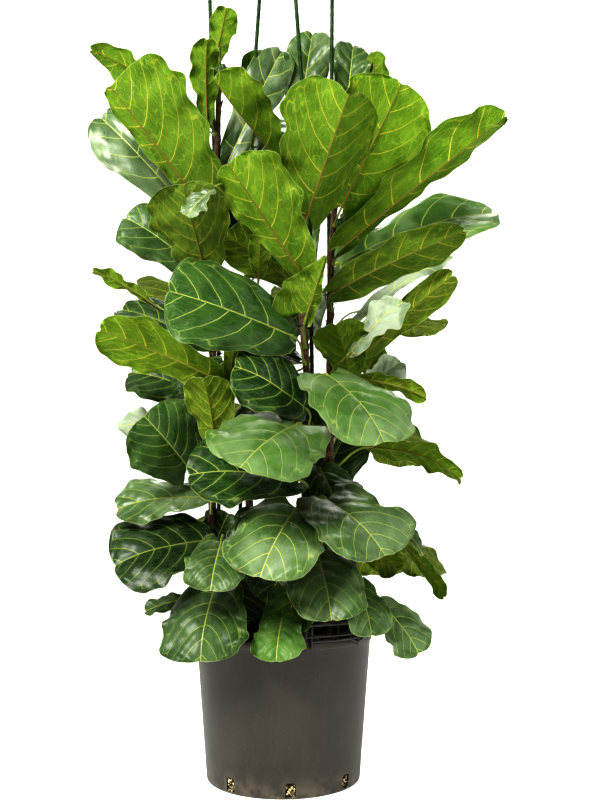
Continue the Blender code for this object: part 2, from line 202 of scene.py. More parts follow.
def makePiece(name, parts, finish, nodes):
    points = np.vstack([part["points"] for part in parts])
    starts = np.cumsum([0] + [len(part["points"]) for part in parts[:-1]])
    faces = []
    for start, part in zip(starts, parts):
        for kind in ("quads", "tris"):
            if kind in part:
                faces += (part[kind] + start).tolist()
    mesh = bpy.data.meshes.new(name)
    mesh.from_pydata(points.tolist(), [], faces)
    for key in parts[0]:
        if key not in ("points", "quads", "tris"):
            layer = mesh.attributes.new(key, "FLOAT_VECTOR", "POINT")
            layer.data.foreach_set("vector", np.vstack([part[key] for part in parts]).ravel())
    mesh.polygons.foreach_set("use_smooth", np.full(len(faces), True))
    mesh.materials.append(finish)
    mesh.update()
    piece = bpy.data.objects.new(name, mesh)
    bpy.context.scene.collection.objects.link(piece)
    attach(piece, "root")
    if nodes:
        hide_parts(*nodes)
    return piece


# a point given in centimetres, its height taken from the soil
def place(x, y, height):
    return np.array([x / 100, y / 100, soilHeight + height / 100])


def routeOf(points):
    return np.array([place(*point) for point in points])


# the place on a route at a height in centimetres
def routePlace(route, height):
    x, y, z = np.array(route, float).T
    return place(np.interp(height, z, x), np.interp(height, z, y), height)


# stems: woody tubes with a swollen scar at every old leaf, papery stipules and rough bark

stems = {
    "radiusAtFoot": 0.0090,
    "radiusAtTop": 0.0054,
    "scarEvery": 0.034,
    "scarSwell": 0.16,
    "routes": {
        "left": [(-12.5, 0, -6), (-14, 0.5, 20), (-14.5, 1, 55), (-14.5, 1.2, 86), (-14, 1.2, 106),
                 (-14, 1.5, 121)],
        "back_left": [(-6, 8, -6), (-7.5, 7.5, 35), (-8, 7, 65), (-7.5, 6, 95), (-6, 7, 113)],
        "central": [(5, -4.5, -6), (5.2, -4.5, 38), (4.2, -4.5, 56), (3.5, -4.5, 66), (3.7, -4.5, 79),
                    (4.2, -4.8, 91), (6.2, -3.2, 99), (6.3, 0, 104), (4.5, 3.5, 109)],
        "right": [(8.5, -1, -6), (9, -0.5, 36), (9.3, -0.5, 69), (10.1, -0.5, 86), (11.8, 0, 96),
                  (12.4, 4.5, 111)],
    },
}


def barkFinish():
    f = Finish("bark")
    at = f.places()
    long = f.stretched(at, (1, 1, 0.22))
    fissures = f.noise(long, 320, 5, 0.65)
    patches = f.noise(at, 38, 3)
    specks = f.cells(at, 620).step(0.32, 0.12)
    young, scar, _ = f.stored("bark")
    color = f.mix(fissures.step(0.35, 0.7), (0.030, 0.017, 0.009), (0.135, 0.085, 0.046))
    color = f.mix(patches.step(0.5, 0.75) * 0.6, color, (0.16, 0.125, 0.08))
    color = f.mix(specks * patches.step(0.4, 0.6) * 0.7, color, (0.36, 0.31, 0.22))
    color = f.mix(young, color, f.mix(fissures, (0.10, 0.12, 0.03), (0.19, 0.20, 0.06)))
    color = f.mix(scar * 0.65, color, (0.045, 0.026, 0.014))
    bump = f.bump(fissures + specks * 0.4, 0.8, 0.0012)
    return f.done(f.surface(color, 0.72 + 0.2 * fissures, bump, 0.3))


# the stem's radius shrinks from foot to top; a scar ring swells it as a narrow bell at uneven heights,
# and two sine waves and a knob below each scar make it knobbly
def makeStem(name, route, finish, seed):
    draw = np.random.default_rng(seed)
    line = routeOf(route)
    count, sides = 420, 18
    path = smoothRoute(line, count)
    run = np.concatenate([[0], np.cumsum(np.linalg.norm(np.diff(path, axis=0), axis=1))])
    share = run / run[-1]
    radius = stems["radiusAtFoot"] + (stems["radiusAtTop"] - stems["radiusAtFoot"]) * share
    scars = np.arange(0.07, run[-1], stems["scarEvery"])
    scars = scars + draw.uniform(-0.009, 0.009, len(scars))
    turn = draw.uniform(0, 2 * pi, len(scars))
    angle = np.linspace(0, 2 * pi, sides, endpoint=False)
    bell = np.exp(-((run[:, None] - scars) / 0.0028) ** 2)
    facing = 0.6 + 0.4 * np.cos(angle[None] - turn[:, None])
    below = np.exp(-((run[:, None] - scars + 0.004) / 0.006) ** 2)
    knob = below @ np.maximum(np.cos(angle[None] - turn[:, None]), 0) ** 3
    swell = 1 + stems["scarSwell"] * bell @ facing + 0.30 * knob
    swell = swell + 0.03 * np.sin(run[:, None] * 61 + 2 * angle + seed) + 0.03 * np.sin(run[:, None] * 143 - angle)
    close = np.clip((share[-1] - share) / 0.006, 0.0, 1.0) ** 0.5
    rings = ringsAlong(path, (radius * np.maximum(close, 0.05))[:, None] * swell, sides)
    young = np.clip((share - 0.86) / 0.12, 0, 1) * 0.9
    bark = np.stack([young, np.clip(bell.sum(1), 0, 1), share], -1)
    parts = [tubePart(rings, bark=bark)]
    # dry stipules: short pointed shells that hug the stem above a scar
    for scarAt, way in zip(scars[3:], turn[3:]):
        if draw.random() < 0.45:
            k = int(np.searchsorted(run, scarAt))
            up = across(path[min(k + 3, count - 1)] - path[k - 3])
            out = np.array([np.cos(way), np.sin(way), 0.0])
            out = across(out - (out @ up) * up)
            length = draw.uniform(0.010, 0.022)
            s = np.linspace(0, 1, 7)
            lean = draw.uniform(0.1, 0.5)
            middle = (path[k] + out * (radius[k] * 1.02))[None] + up * (length * s)[:, None] \
                + out * (length * lean * s ** 2)[:, None]
            width = 0.0042 * np.sqrt(np.maximum(1 - s, 0.02)) * (0.5 + s)
            shell = ringsAlong(middle, width, 8, np.cross(up, out), 0.22)
            tone = np.tile([0.0, 0.35 + 0.3 * draw.random(), 0.5], (7, 1))
            parts.append(tubePart(shell, bark=tone))
    # the growing tip: a bent spindle in its own sheath, widest a third of the way up
    s = np.linspace(0, 1, 16)
    lean = np.array([np.cos(seed), np.sin(seed), 0.0])
    tip = path[-4] + across(path[-1] - path[-9]) * (0.034 * s)[:, None] + lean * (0.008 * s ** 2)[:, None]
    spindle = ringsAlong(tip, 0.0052 * np.sin(pi * (0.22 + 0.77 * s)) ** 0.8, 12)
    parts.append(tubePart(spindle, bark=np.stack([1 - 0.5 * s, 0.5 * s, s], -1)))
    makePiece(name + "_fig_stem", parts, finish, [name + "_stem"])


bark = barkFinish()
for number, (name, route) in enumerate(stems["routes"].items()):
    makeStem(name, route, bark, 11 + number)
print("stems done")


# stakes: straight plastic-coated canes with rows of small knobs

stakes = {
    "length": 1.5,
    "radius": 0.0040,
    "knob": 0.0005,
    "knobEvery": 0.009,
    "routes": {
        "left": [(-12.8, 4.5, -14), (-13.7, 4.5, 66), (-15.7, 4.5, 118), (-16.4, 4.5, 136)],
        "back_left": [(-9.5, 4.2, -14), (-8.2, 4.2, 70), (-6.7, 4.2, 118), (-5.6, 4.2, 136)],
        "central": [(6.8, -2, -14), (5.7, -2, 39), (5.1, -2, 92), (2.4, -2, 130), (2.0, -2, 136)],
        "right": [(9.2, 3.5, -14), (9.2, 3.5, 88), (9.7, 3.5, 92), (10.1, 3.5, 136)],
    },
}


def stakeFinish():
    f = Finish("stake_coating")
    at = f.places()
    worn = f.noise(at, 70, 4)
    dust = f.noise(f.stretched(at, (1, 1, 0.15)), 240, 3)
    color = f.mix(worn.step(0.35, 0.7), (0.010, 0.026, 0.007), (0.026, 0.058, 0.018))
    color = f.mix(dust.step(0.58, 0.78) * 0.35, color, (0.17, 0.19, 0.15))
    return f.done(f.surface(color, 0.45 + 0.25 * worn, f.bump(dust, 0.25, 0.0004), 0.12))


# a tube whose radius grows by a bell at each knob; the knobs stand in a ring of four, turned an eighth
# from one ring to the next
def makeStake(name, route, finish):
    line = routeOf(route)
    stretch = stakes["length"] / np.linalg.norm(line[-1] - line[0])
    line = line[0] + (line - line[0]) * stretch
    count, sides = 1000, 12
    run = np.linspace(0, stakes["length"], count)
    steps = np.concatenate([[0], np.cumsum(np.linalg.norm(np.diff(line, axis=0), axis=1))])
    path = np.stack([np.interp(run, steps * run[-1] / steps[-1], line[:, k]) for k in range(3)], -1)
    angle = np.linspace(0, 2 * pi, sides, endpoint=False)
    ring = run / stakes["knobEvery"]
    near = np.abs((ring + 0.5) % 1 - 0.5) * stakes["knobEvery"]
    odd = np.floor(ring + 0.5) % 2
    turned = np.cos(4 * angle[None] + pi * odd[:, None])
    knobs = np.exp(-(near[:, None] / 0.0018) ** 2) * np.clip(turned, 0, 1) ** 2
    end = np.clip(np.minimum(run, run[-1] - run) / 0.003, 0.12, 1) ** 0.5
    rings = ringsAlong(path, (stakes["radius"] + stakes["knob"] * knobs) * end[:, None], sides)
    makePiece(name + "_cane", [tubePart(rings)], finish, [name + "_stake"])


stakeGreen = stakeFinish()
for name, route in stakes["routes"].items():
    makeStake(name, route, stakeGreen)
print("stakes done")


# leaves

# outline: half the width, as a share of the widest, at shares of the length; the first is waisted like a
# fiddle and the second is broad at its base
outline = {
    "shares": [0.00, 0.03, 0.08, 0.15, 0.25, 0.36, 0.48, 0.60, 0.71, 0.82, 0.90, 0.955, 0.985, 1.0],
    "waisted": [0.08, 0.30, 0.44, 0.53, 0.60, 0.70, 0.84, 0.95, 1.00, 0.95, 0.80, 0.58, 0.42, 0.22],
    "heart": [0.50, 0.60, 0.71, 0.80, 0.88, 0.94, 0.99, 1.00, 0.98, 0.90, 0.75, 0.54, 0.38, 0.20],
}

leafShape = {
    "rows": 54,
    "columns": 33,
    "thickness": 0.00045,
    "roll": (-20, -20),      # how much further each half bends down towards its edge, in degrees
    "wave": 0.55,            # height of the wavy edge, in centimetres
    "waves": 1.8,
    "shift": 1.0,            # above 1 puts the widest place nearer the tip
    "pucker": 0.17,          # height of the quilting between the veins, in centimetres
    "ribs": 5.4,             # side veins on each half
    "lobes": 1.0,            # strength of the unevenness of the outline
    "notch": 0.02,
    "halves": (1.0, 1.0),    # the width of each half as a share of half the blade's width
    "blunt": 0.12,           # above 0 keeps the end broad, as if cut off
    "taper": 0.0,            # above 0 narrows the blade towards its tip
    "age": 0.8,              # 0 is a soft yellow-green leaf, 1 a hard dark one
    "sheen": 0.25,           # share of a painted whitish sheen on its upper face, a painted reflection
    "brown": 0.0,            # brown midrib and freckles below
    "shade": 1.0,            # the leaf's brightness, set leaf by leaf, partly its own tone and partly painted light and shade; below 1 is a darker leaf
    "gloss": 0.45,
}


def blade(base, tip, width, facing, folds=(12, 12), arch=0.04, curl=-0.05, heart=0.3, tone=None, **more):
    return {**leafShape, **(tone or {}), "base": base, "tip": tip, "width": width, "facing": facing,
            "folds": folds, "arch": arch, "curl": curl, "heart": heart, **more}


# each stem's leaves from the top down: base and tip (x, y, height above the soil) and width in
# centimetres, the way the upper face looks (turn from the front, lift), and the fold of each half
young = {"age": 0.05, "brown": 1.0, "sheen": 0.1, "pucker": 0.10, "wave": 0.9, "waves": 2.5, "ribs": 6.2, "lobes": 2.0}
fresh = {"age": 0.3, "brown": 0.6, "sheen": 0.15, "wave": 0.7, "waves": 2.2, "ribs": 6.0, "lobes": 1.6}
olive = {"age": 0.55, "brown": 0.5}
# for leaves deep inside the plant: old dark green, with the colour darkened further as painted shade
dark = {"age": 1.0, "sheen": 0.05, "shade": 0.8}
# the next two tones: the first gives a glossier coat and a painted whitish sheen, the second much more painted sheen
# and a lighter colour; both are painted reflection and painted light
glossyPaintedSheen = {"age": 0.8, "sheen": 0.75, "gloss": 0.8}
pale = {"age": 0.8, "sheen": 2.2, "wave": 0.9, "lobes": 2.0, "gloss": 0.0, "shade": 1.2}

leaves = {
    "left": {
        "left_leaf_1": blade((-17, 2, 106), (-40.5, 6, 126), 7, (180, 55), (10, 10), 0.03, -0.1, tone=young,
                             wave=1.2),
        "left_leaf_2": blade((-17, -10, 86), (-33.5, -16, 106.5), 20, (175, 15), (4, 20), 0.03, 0.04, 0.45,
                             halves=(1.25, 0.3), blunt=0.45, tone=young),
        "left_leaf_3": blade((-19, -3, 85.5), (-37.5, -5, 105.5), 13, (-35, 35), (15, 15), 0.05, -0.05, tone=glossyPaintedSheen),
        "left_leaf_4": blade((-17.5, -3, 74), (-31.5, -6, 84), 13, (-35, 35), (10, 10), 0.05, -0.05),
        "left_leaf_5": blade((-15, -12, 71.5), (-18.5, -20, 85), 15.5, (170, 10), (5, 5), 0.03, 0.1, shade=0.62,
                             tone=fresh),
        "left_leaf_6": blade((-12.5, -10, 50.5), (-33.5, -18, 58.5), 11, (175, 35), (8, 8), 0.04, 0, tone=fresh,
                             shade=1.25),
        "left_leaf_7": blade((-12.5, -12.5, 38.5), (-14, -18, 50), 10, (170, 15), (20, 20), 0.04, -0.08, tone=olive),
        "left_leaf_8": blade((-18, -8, 34), (-25, -15, 43), 15.5, (-15, 30), curl=-0.08, heart=0.7, sheen=0.15,
                             shade=0.9),
        "left_leaf_9": blade((-15.5, -6, 28.5), (-31, -10, 27), 12, (-10, 45), curl=-0.08, tone=glossyPaintedSheen),
        "left_leaf_10": blade((-14.5, -10, 20.5), (-30, -16, 17), 17.5, (-20, 35), curl=-0.08, heart=0.6, sheen=0.0,
                              age=1.0, shade=0.75),
        "left_leaf_11": blade((-11, -15, 20.5), (-12, -24, 13), 11, (0, 55), curl=-0.08, heart=0.5, sheen=0.4),
        "left_leaf_12": blade((-12.5, -13, 11.5), (-14, -22, 1), 16.5, (-20, 38), curl=-0.08, heart=0.8, sheen=0.3,
                              shade=0.85),
        "left_high_leaf_1": blade((-15, 3, 121), (-12.5, 2, 132.5), 6, (180, 20), tone=young),
        "left_high_leaf_2": blade((-16, -2, 106), (-16, -5, 121.5), 6.5, (200, 10), (20, 20), tone=young),
        "left_high_leaf_3": blade((-12.5, 2, 97), (-0.5, 6, 126), 9.5, (15, 15), tone=glossyPaintedSheen, sheen=1.1, wave=1.0,
                                  pucker=0.3),
        "left_side_leaf_1": blade((-27, 2, 68), (-39.5, 3, 75.5), 3.6, (180, 50), tone=fresh),
        "left_side_leaf_2": blade((-16, 0, 59), (-33.5, 2, 67.5), 12, (-20, 50), tone=dark),
        "left_side_leaf_3": blade((-16, 0, 49), (-31, 0, 54), 14, (-20, 40), tone=dark),
        "left_side_leaf_4": blade((-10.5, -12, 46.5), (-8.5, -18, 56), 4, (180, 10), (30, 30), tone=fresh),
        "left_side_leaf_5": blade((-20.5, -2, 42.5), (-32.5, -4, 42.5), 6, (-15, 30), wave=1.0, tone=pale),
        "left_side_leaf_6": blade((-13.5, 0, 19), (-11, 0, 25.5), 9, (0, 40), tone=dark),
        "left_side_leaf_8": blade((-13, -20, 84), (-17.5, -20.5, 79), 6, (-20, 30), tone=glossyPaintedSheen, sheen=1.1, lobes=2.0),
        "left_side_leaf_7": blade((-17.5, 2, 9), (-27.5, 2, 6.5), 4.5, (-30, 40)),
        "left_inner_leaf_1": blade((-12, -3, 55), (-20, -5, 47), 13, (-20, 40), tone=dark),
        "left_inner_leaf_2": blade((-13, 2, 70), (-21, 4, 63), 13, (-15, 40), tone=dark),
        "left_inner_leaf_3": blade((-12, -5, 36), (-6, -10, 29), 13, (10, 40), tone=dark),
        "left_inner_leaf_4": blade((-11, -5, 14), (-7, -12, 6), 12, (-5, 40), tone=dark),
    },
    "back_left": {
        "back_left_leaf_1": blade((0, -5, 94), (-14, -16, 107), 15, (150, 25), (5, 80), 0.03, 0.08, tone=young),
        "back_left_leaf_2": blade((-11, 14, 94), (-20, 32, 106), 17, (30, 50), (10, 10), 0.04, -0.04),
        "back_left_leaf_3": blade((-10, 17, 49), (-18, 37, 42), 18, (-155, 50), (10, 10), 0.05, -0.06, 0.7),
        "back_left_leaf_4": blade((-8, 17, 20), (-12, 33, 11), 17, (-160, 45), (10, 10), 0.05, -0.06, 0.7),
        "back_left_high_leaf_1": blade((-6, 8, 114), (-6.5, 10, 127), 7, (180, 20), tone=young),
        "back_left_high_leaf_2": blade((-5, 10, 113.5), (0.5, 14, 129), 9, (20, 50), tone=glossyPaintedSheen, wave=1.2,
                                       pucker=0.35),
        "back_left_side_leaf_1": blade((-8.5, -11, 108), (-14, -13, 111.5), 3.6, (-10, 40), tone=dark, wave=1.0),
        "back_left_inner_leaf_8": blade((-10, 3, 94), (-1, 3, 106), 9, (10, 30), tone=dark),
        "back_left_inner_leaf_1": blade((-6, 3, 75.5), (-12, 5, 92.5), 14, (0, 30), tone=dark),
        "back_left_inner_leaf_2": blade((-5, -5, 72), (-4.5, -7, 80), 5, (190, 20), tone=fresh),
        "back_left_inner_leaf_3": blade((1, -2, 72), (-11.5, -6, 80), 11, (180, 40), tone=olive),
        "back_left_inner_leaf_4": blade((3, 2, 56), (-5.5, 4, 59.5), 9, (0, 50), tone=dark),
        "back_left_inner_leaf_5": blade((-6, 1, 46), (-3, -5, 38), 14, (5, 40), tone=dark),
        "back_left_inner_leaf_6": blade((-6, 0, 26), (-3, -7, 18), 14, (10, 40), tone=dark),
        "back_left_inner_leaf_7": blade((-6, 2, 13), (-8, -5, 5), 14, (-10, 40), tone=dark),
        "back_left_rear_leaf_1": blade((-14, 14, 71), (-32, 26, 76), 16, (130, 75)),
        "back_left_rear_leaf_2": blade((-15, 13, 24), (-28, 27, 12), 17, (-135, 45), heart=0.6),
    },
    "central": {
        "central_leaf_1": blade((3, 7, 109), (6, 10, 131.5), 11, (0, 45), (20, 20), 0.04, 0, tone=glossyPaintedSheen, wave=1.2,
                                pucker=0.35),
        "central_leaf_2": blade((3, 13, 109), (5, 32, 121), 17, (-5, 45), (10, 10), 0.04, -0.04),
        "central_leaf_3": blade((4.5, -13, 81.5), (12.5, -24, 102), 21.5, (175, 20), (42, 5), 0.02, 0.08,
                                roll=(20, -15), notch=0.07, blunt=0.4, tone=young),
        "central_leaf_4": blade((3, 15, 74), (3, 35, 74), 17, (180, 70), (10, 10), 0.05, -0.06, 0.5),
        "central_leaf_5": blade((3, -14, 70.5), (-10, -23, 88), 15, (180, 12), (6, 40), 0.02, 0.05,
                                halves=(1.15, 0.65), blunt=0.3, tone=young),
        "central_leaf_6": blade((4.5, -15, 62), (8, -19, 72), 11, (175, 5), (20, 5), 0.02, 0, 1.0,
                                halves=(0.35, 1.5), shift=0.5, taper=0.85, tone=fresh, wave=1.2),
        "central_leaf_7": blade((1, -13.5, 58.5), (-20, -24, 64.5), 18, (-5, 15), (6, 6), 0.03, -0.03, sheen=0.1,
                                age=0.75),
        "central_leaf_8": blade((8.5, -12, 51), (18, -26, 38.5), 18.5, (14, 57), (6, 6), 0.04, -0.08, 0.9, sheen=0.85,
                                age=0.4, gloss=0.6, shade=1.25),
        "central_leaf_9": blade((4, -12, 45), (-8, -20, 52), 15.5, (-10, 30), curl=-0.08, sheen=0.0, age=1.0),
        "central_leaf_10": blade((2.5, -16, 41.5), (-6.5, -33, 33.5), 19.5, (25, 58), (6, 6), 0.04, -0.05, 0.9,
                                 sheen=0.75,
                                 age=0.4, gloss=0.6, shade=1.2),
        "central_leaf_11": blade((2.5, -14, 31.5), (-16, -22, 33), 15, (-5, 35), curl=-0.08, sheen=0.0, age=1.0),
        "central_leaf_12": blade((8, -15.5, 28), (17.5, -28, 19.5), 17.5, (10, 48), curl=-0.08, heart=0.9,
                                 sheen=0.65),
        "central_leaf_13": blade((2.5, -17, 26.5), (-3.5, -30, 16), 16.5, (-5, 45), curl=-0.08, heart=0.9, sheen=0.9,
                                 shade=1.15),
        "central_leaf_14": blade((6.5, -15, 18), (8.5, -26, 8.5), 14, (5, 45), curl=-0.08, heart=0.7, sheen=0.5),
        "central_leaf_15": blade((0, -15, 7.5), (-1, -22, 1), 9.5, (-10, 35), curl=-0.08, heart=0.6, sheen=0.4,
                                 age=0.3, shade=1.25),
        "central_inner_leaf_1": blade((5.5, 5, 75.5), (5.5, 9, 90.5), 4, (0, 30)),
        "central_inner_leaf_2": blade((5.5, 2, 37), (5, 5, 46.5), 9, (0, 40), tone=dark),
        "central_inner_leaf_3": blade((5.5, 2, 61), (7.5, 4, 72), 5, (-10, 20), tone=pale, shade=1.7),
        "central_inner_leaf_4": blade((15, 3, 20), (23, 4, 14), 9, (170, 40), tone=olive),
        "central_inner_leaf_5": blade((3.5, -8, 14.5), (0.5, -17, 5), 10, (-5, 40)),
        "central_inner_leaf_6": blade((6, 0, 50), (12, -5, 43), 14, (15, 40), tone=dark),
        "central_inner_leaf_7": blade((7, -5, 34), (10, -11, 27), 13, (15, 40), tone=dark),
        "central_inner_leaf_8": blade((3, 3, 66), (-4, 2, 59), 13, (-10, 40), tone=dark),
        "central_inner_leaf_9": blade((2, -6, 20), (-2.5, -12, 9.5), 11, (-5, 40), tone=dark),
        "central_inner_leaf_10": blade((7, -4, 27), (7.5, -10, 17), 12, (5, 40), tone=dark),
        "central_side_leaf_1": blade((24.5, 0, 18.5), (31, -4, 9.5), 3.6, (160, 30), tone=fresh, wave=0.3),
        "central_side_leaf_2": blade((19.5, -20, 25), (24.5, -22, 18.5), 2.4, (20, 40), tone=glossyPaintedSheen, blunt=0.0),
        "central_rear_leaf_1": blade((4, 14, 54), (5, 34, 48), 17, (175, 55)),
    },
    "right": {
        "right_leaf_1": blade((17, 11, 94), (30, 25, 107), 17, (-45, 50), (10, 10), 0.04, -0.04),
        "right_leaf_2": blade((11.5, -5, 86), (23.5, -12, 109), 20, (190, 20), (6, 6), 0.02, 0.05, shade=1.25,
                              tone=young),
        "right_leaf_3": blade((12, -5, 78), (44.5, -10, 103), 12.5, (160, 45), (50, 15), 0.03, 0.03,
                              roll=(10, -10), blunt=0.0, tone=young, wave=1.5, waves=3.2, shade=1.12),
        "right_leaf_4": blade((11.5, 7, 78), (45.5, 10, 91), 16, (5, 40), (12, 12), 0.05, -0.03,
                              tone=glossyPaintedSheen, sheen=0.9, age=0.45, gloss=0.3, shade=1.8),
        "right_leaf_5": blade((10, -6, 68.5), (34.5, -14, 78), 12, (170, 45), (10, 10), 0.05, 0.03, taper=0.35,
                              blunt=0.0,
                              shade=0.68, tone=fresh),
        "right_leaf_6": blade((16.5, -2, 57.5), (33, -6, 72), 8, (165, 30), (30, 60), curl=-0.08, tone=olive),
        "right_leaf_7": blade((13, -5, 52), (10, -10, 61.5), 11, (170, 25), (20, 20), curl=-0.08, shade=0.75,
                              tone=fresh),
        "right_leaf_8": blade((16, 12, 45), (29, 29, 37), 18, (145, 50), (10, 10), 0.05, -0.06, 0.7),
        "right_leaf_9": blade((17.5, -6, 38), (33.5, -12, 32.5), 7, (175, 50), arch=0.08, curl=-0.08, shift=0.7,
                              tone=fresh),
        "right_leaf_10": blade((7, 6, 30), (13.5, 11, 43.5), 14, (10, 40), curl=-0.08, heart=0.5, tone=dark),
        "right_leaf_11": blade((14, 13, 22), (21, 28, 12), 17, (155, 45), (10, 10), 0.05, -0.06, 0.7),
        "right_leaf_12": blade((13.5, -10, 13), (16, -17, 4.5), 9, (15, 40), curl=-0.08, sheen=0.7, shade=1.5),
        "right_leaf_13": blade((18.5, -4, 8.5), (25.5, -8, 0), 10, (15, 40), curl=-0.08, tone=glossyPaintedSheen, sheen=1.0,
                               shade=2.0),
        "right_high_leaf_1": blade((13, 6, 111.5), (15, 8, 128), 9, (10, 40), tone=glossyPaintedSheen, wave=1.2, pucker=0.35),
        "right_high_leaf_2": blade((18, 4, 110), (19.5, 6, 124.5), 6, (150, 10), (25, 25), tone=young),
        "right_side_leaf_1": blade((11.5, 8, 85), (17, 12, 92), 6, (10, 50), tone=glossyPaintedSheen),
        "right_side_leaf_2": blade((17, 5, 54), (19.5, 6, 60.5), 5, (170, 30), tone=fresh),
        "right_side_leaf_3": blade((15, -2, 52), (28, -5, 48), 5, (175, 50), tone=olive),
        "right_side_leaf_4": blade((16.5, 3, 50), (24, 4, 56.5), 7, (-10, 25), tone=pale, shade=1.7),
        "right_side_leaf_5": blade((13, -7, 56.5), (23, -8, 66.5), 8, (-30, 20), blunt=0.3, tone=pale),
        "right_side_leaf_6": blade((12, 0, 62), (34, 0, 78.5), 4, (10, 40), tone=pale),
        "right_inner_leaf_1": blade((11, 8, 1.5), (11.5, 10, 9.5), 8, (0, 30), tone=dark),
        "right_low_leaf_1": blade((20, 6, 3), (23.5, 8, 4), 5, (10, 50)),
        "right_rear_leaf_1": blade((17, 10, 68), (33, 22, 66), 16, (127, 65)),
        "right_rear_leaf_2": blade((17, 8, 22), (31, 20, 12), 17, (131, 45), heart=0.6),
    },
}


def leafFinish():
    f = Finish("leaf")
    u, v, edge = f.stored("blade")           # along, across, centimetres to the edge
    ribs, fromMidrib, seed = f.stored("net")  # side vein count, centimetres from the midrib, the leaf's own number
    under, stalk, side = f.stored("face")
    age, sheen, brown = f.stored("tone")
    shade, gloss, _ = f.stored("look")
    at = f.places()
    reach = abs(v)
    # veins: a tapering midrib, side veins at whole numbers of ribs, rungs between them and a fine net
    fine = f.noise(at, 420, 2)
    wobble = f.noise(at, 45, 2) - 0.5
    gap = abs((ribs + 0.5 + wobble * 0.10).whole() - 0.5)
    midrib = abs(fromMidrib).step(0.20 - 0.13 * u, 0.09 - 0.05 * u)
    sideVein = gap.step(0.040 - 0.020 * reach, 0.012 - 0.006 * reach) * reach.step(0.95, 0.80)
    loops = abs(reach - 0.82 - 0.09 * abs((ribs + 0.5).whole() - 0.5).step(0.0, 0.5)).step(0.020, 0.006)
    sideVein = sideVein.most(loops * 0.35 * edge.step(0.5, 1.0))
    halo = gap.step(0.26, 0.02).most(abs(fromMidrib).step(0.9, 0.1)) * reach.step(1.0, 0.8)
    crossed = f.node("CombineXYZ", sockets={0: ribs * 1.5 + wobble * 0.6, 1: fromMidrib * 1.05 + wobble, 2: seed})
    rungs = f.cells(crossed, 1.0, "DISTANCE_TO_EDGE").step(0.065, 0.015)
    flat = f.node("CombineXYZ", sockets={0: ribs + wobble * 0.2, 1: fromMidrib * 0.42, 2: seed})
    net = f.cells(flat, 8.5, "DISTANCE_TO_EDGE").step(0.12, 0.03)
    veins = midrib.most(sideVein).most(rungs * 0.42).most(net * 0.16)
    # upper face: deep green, lighter along the veins, mottled, with a painted whitish sheen that stands for reflected
    # light, and a thin pale rim
    mottle = f.noise(at, 26, 4)
    cloud = f.noise(at, 11, 4)
    deep = f.mix(mottle.step(0.3, 0.7), (0.006, 0.020, 0.004), (0.020, 0.047, 0.011))
    soft = f.mix(mottle.step(0.3, 0.7), (0.042, 0.125, 0.009), (0.080, 0.185, 0.015))
    upper = f.mix(age, soft, deep)
    upper = f.mix(halo * 0.35, upper, (0.050, 0.115, 0.022))
    upper = f.mix(net * 0.14 + rungs * 0.28, upper, (0.100, 0.190, 0.050))
    # painted reflection: whitish clouds mixed into the upper face's colour, stronger where the leaf's painted sheen is
    # higher
    paintedReflection = (sheen * (0.30 + 0.70 * cloud.step(0.40, 0.60)) * (0.50 + 0.50 * mottle)).least(0.92)
    upper = f.mix(paintedReflection * 0.70, upper, f.mix(sheen.step(0.8, 1.6), (0.255, 0.320, 0.190), (0.355, 0.395, 0.315)))
    upper = f.mix(midrib.most(sideVein * (0.50 + 0.40 * mottle).most(sheen.least(0.95))), upper, (0.400, 0.430, 0.125))
    # lower face: olive green and matt, freckled brown, its midrib brown on young leaves
    lowerYoung = f.mix(mottle.step(0.3, 0.7), (0.062, 0.128, 0.009), (0.116, 0.198, 0.018))
    lowerOld = f.mix(mottle.step(0.3, 0.7), (0.060, 0.092, 0.010), (0.115, 0.150, 0.020))
    lower = f.mix(age.step(0.0, 0.75), lowerYoung, lowerOld)
    lower = f.mix(edge.step(1.6, 0.2) * 0.30, lower, (0.048, 0.120, 0.006))
    lower = f.mix(rungs * 0.50 + net * 0.28, lower, (0.205, 0.290, 0.030))
    lower = f.mix(halo * 0.16, lower, (0.180, 0.250, 0.022))
    lower = f.mix(sideVein * 0.92, lower, (0.430, 0.400, 0.070))
    freckles = f.cells(at, 210).step(0.24, 0.10) * f.noise(at, 60, 2).step(0.50, 0.62)
    blotches = f.noise(at, 105, 3).step(0.62, 0.70) * f.noise(at, 17, 2).step(0.48, 0.60)
    lower = f.mix(freckles * (0.25 + 0.5 * brown) + blotches * brown * 0.6, lower, (0.075, 0.036, 0.010))
    ribColor = f.mix(brown * (0.55 + 0.4 * fine), (0.360, 0.390, 0.070), (0.130, 0.055, 0.020))
    lower = f.mix(midrib, lower, ribColor)
    color = f.mix(under, upper, lower)
    stalkColor = f.mix(mottle, (0.110, 0.150, 0.022), (0.200, 0.230, 0.045))
    stalkColor = f.mix(brown * 0.6 * side, stalkColor, (0.130, 0.058, 0.020))
    color = f.mix(stalk, color, stalkColor)
    rim = edge.step(0.12, 0.03) * (1 - stalk)
    color = f.mix(rim * 0.60, color, (0.400, 0.440, 0.170))
    scorched = f.noise(at, 31, 3).step(0.60, 0.70) * edge.step(0.9, 0.1)
    color = f.mix(scorched * 0.55 * (1 - stalk), color, (0.100, 0.050, 0.018))
    # painted light and shade: the colour is multiplied by the leaf's brightness, set leaf by leaf, and is darker
    # towards the leaf's base
    color = f.mix(1.0, color, shade * (0.80 + 0.32 * u), "MULTIPLY")
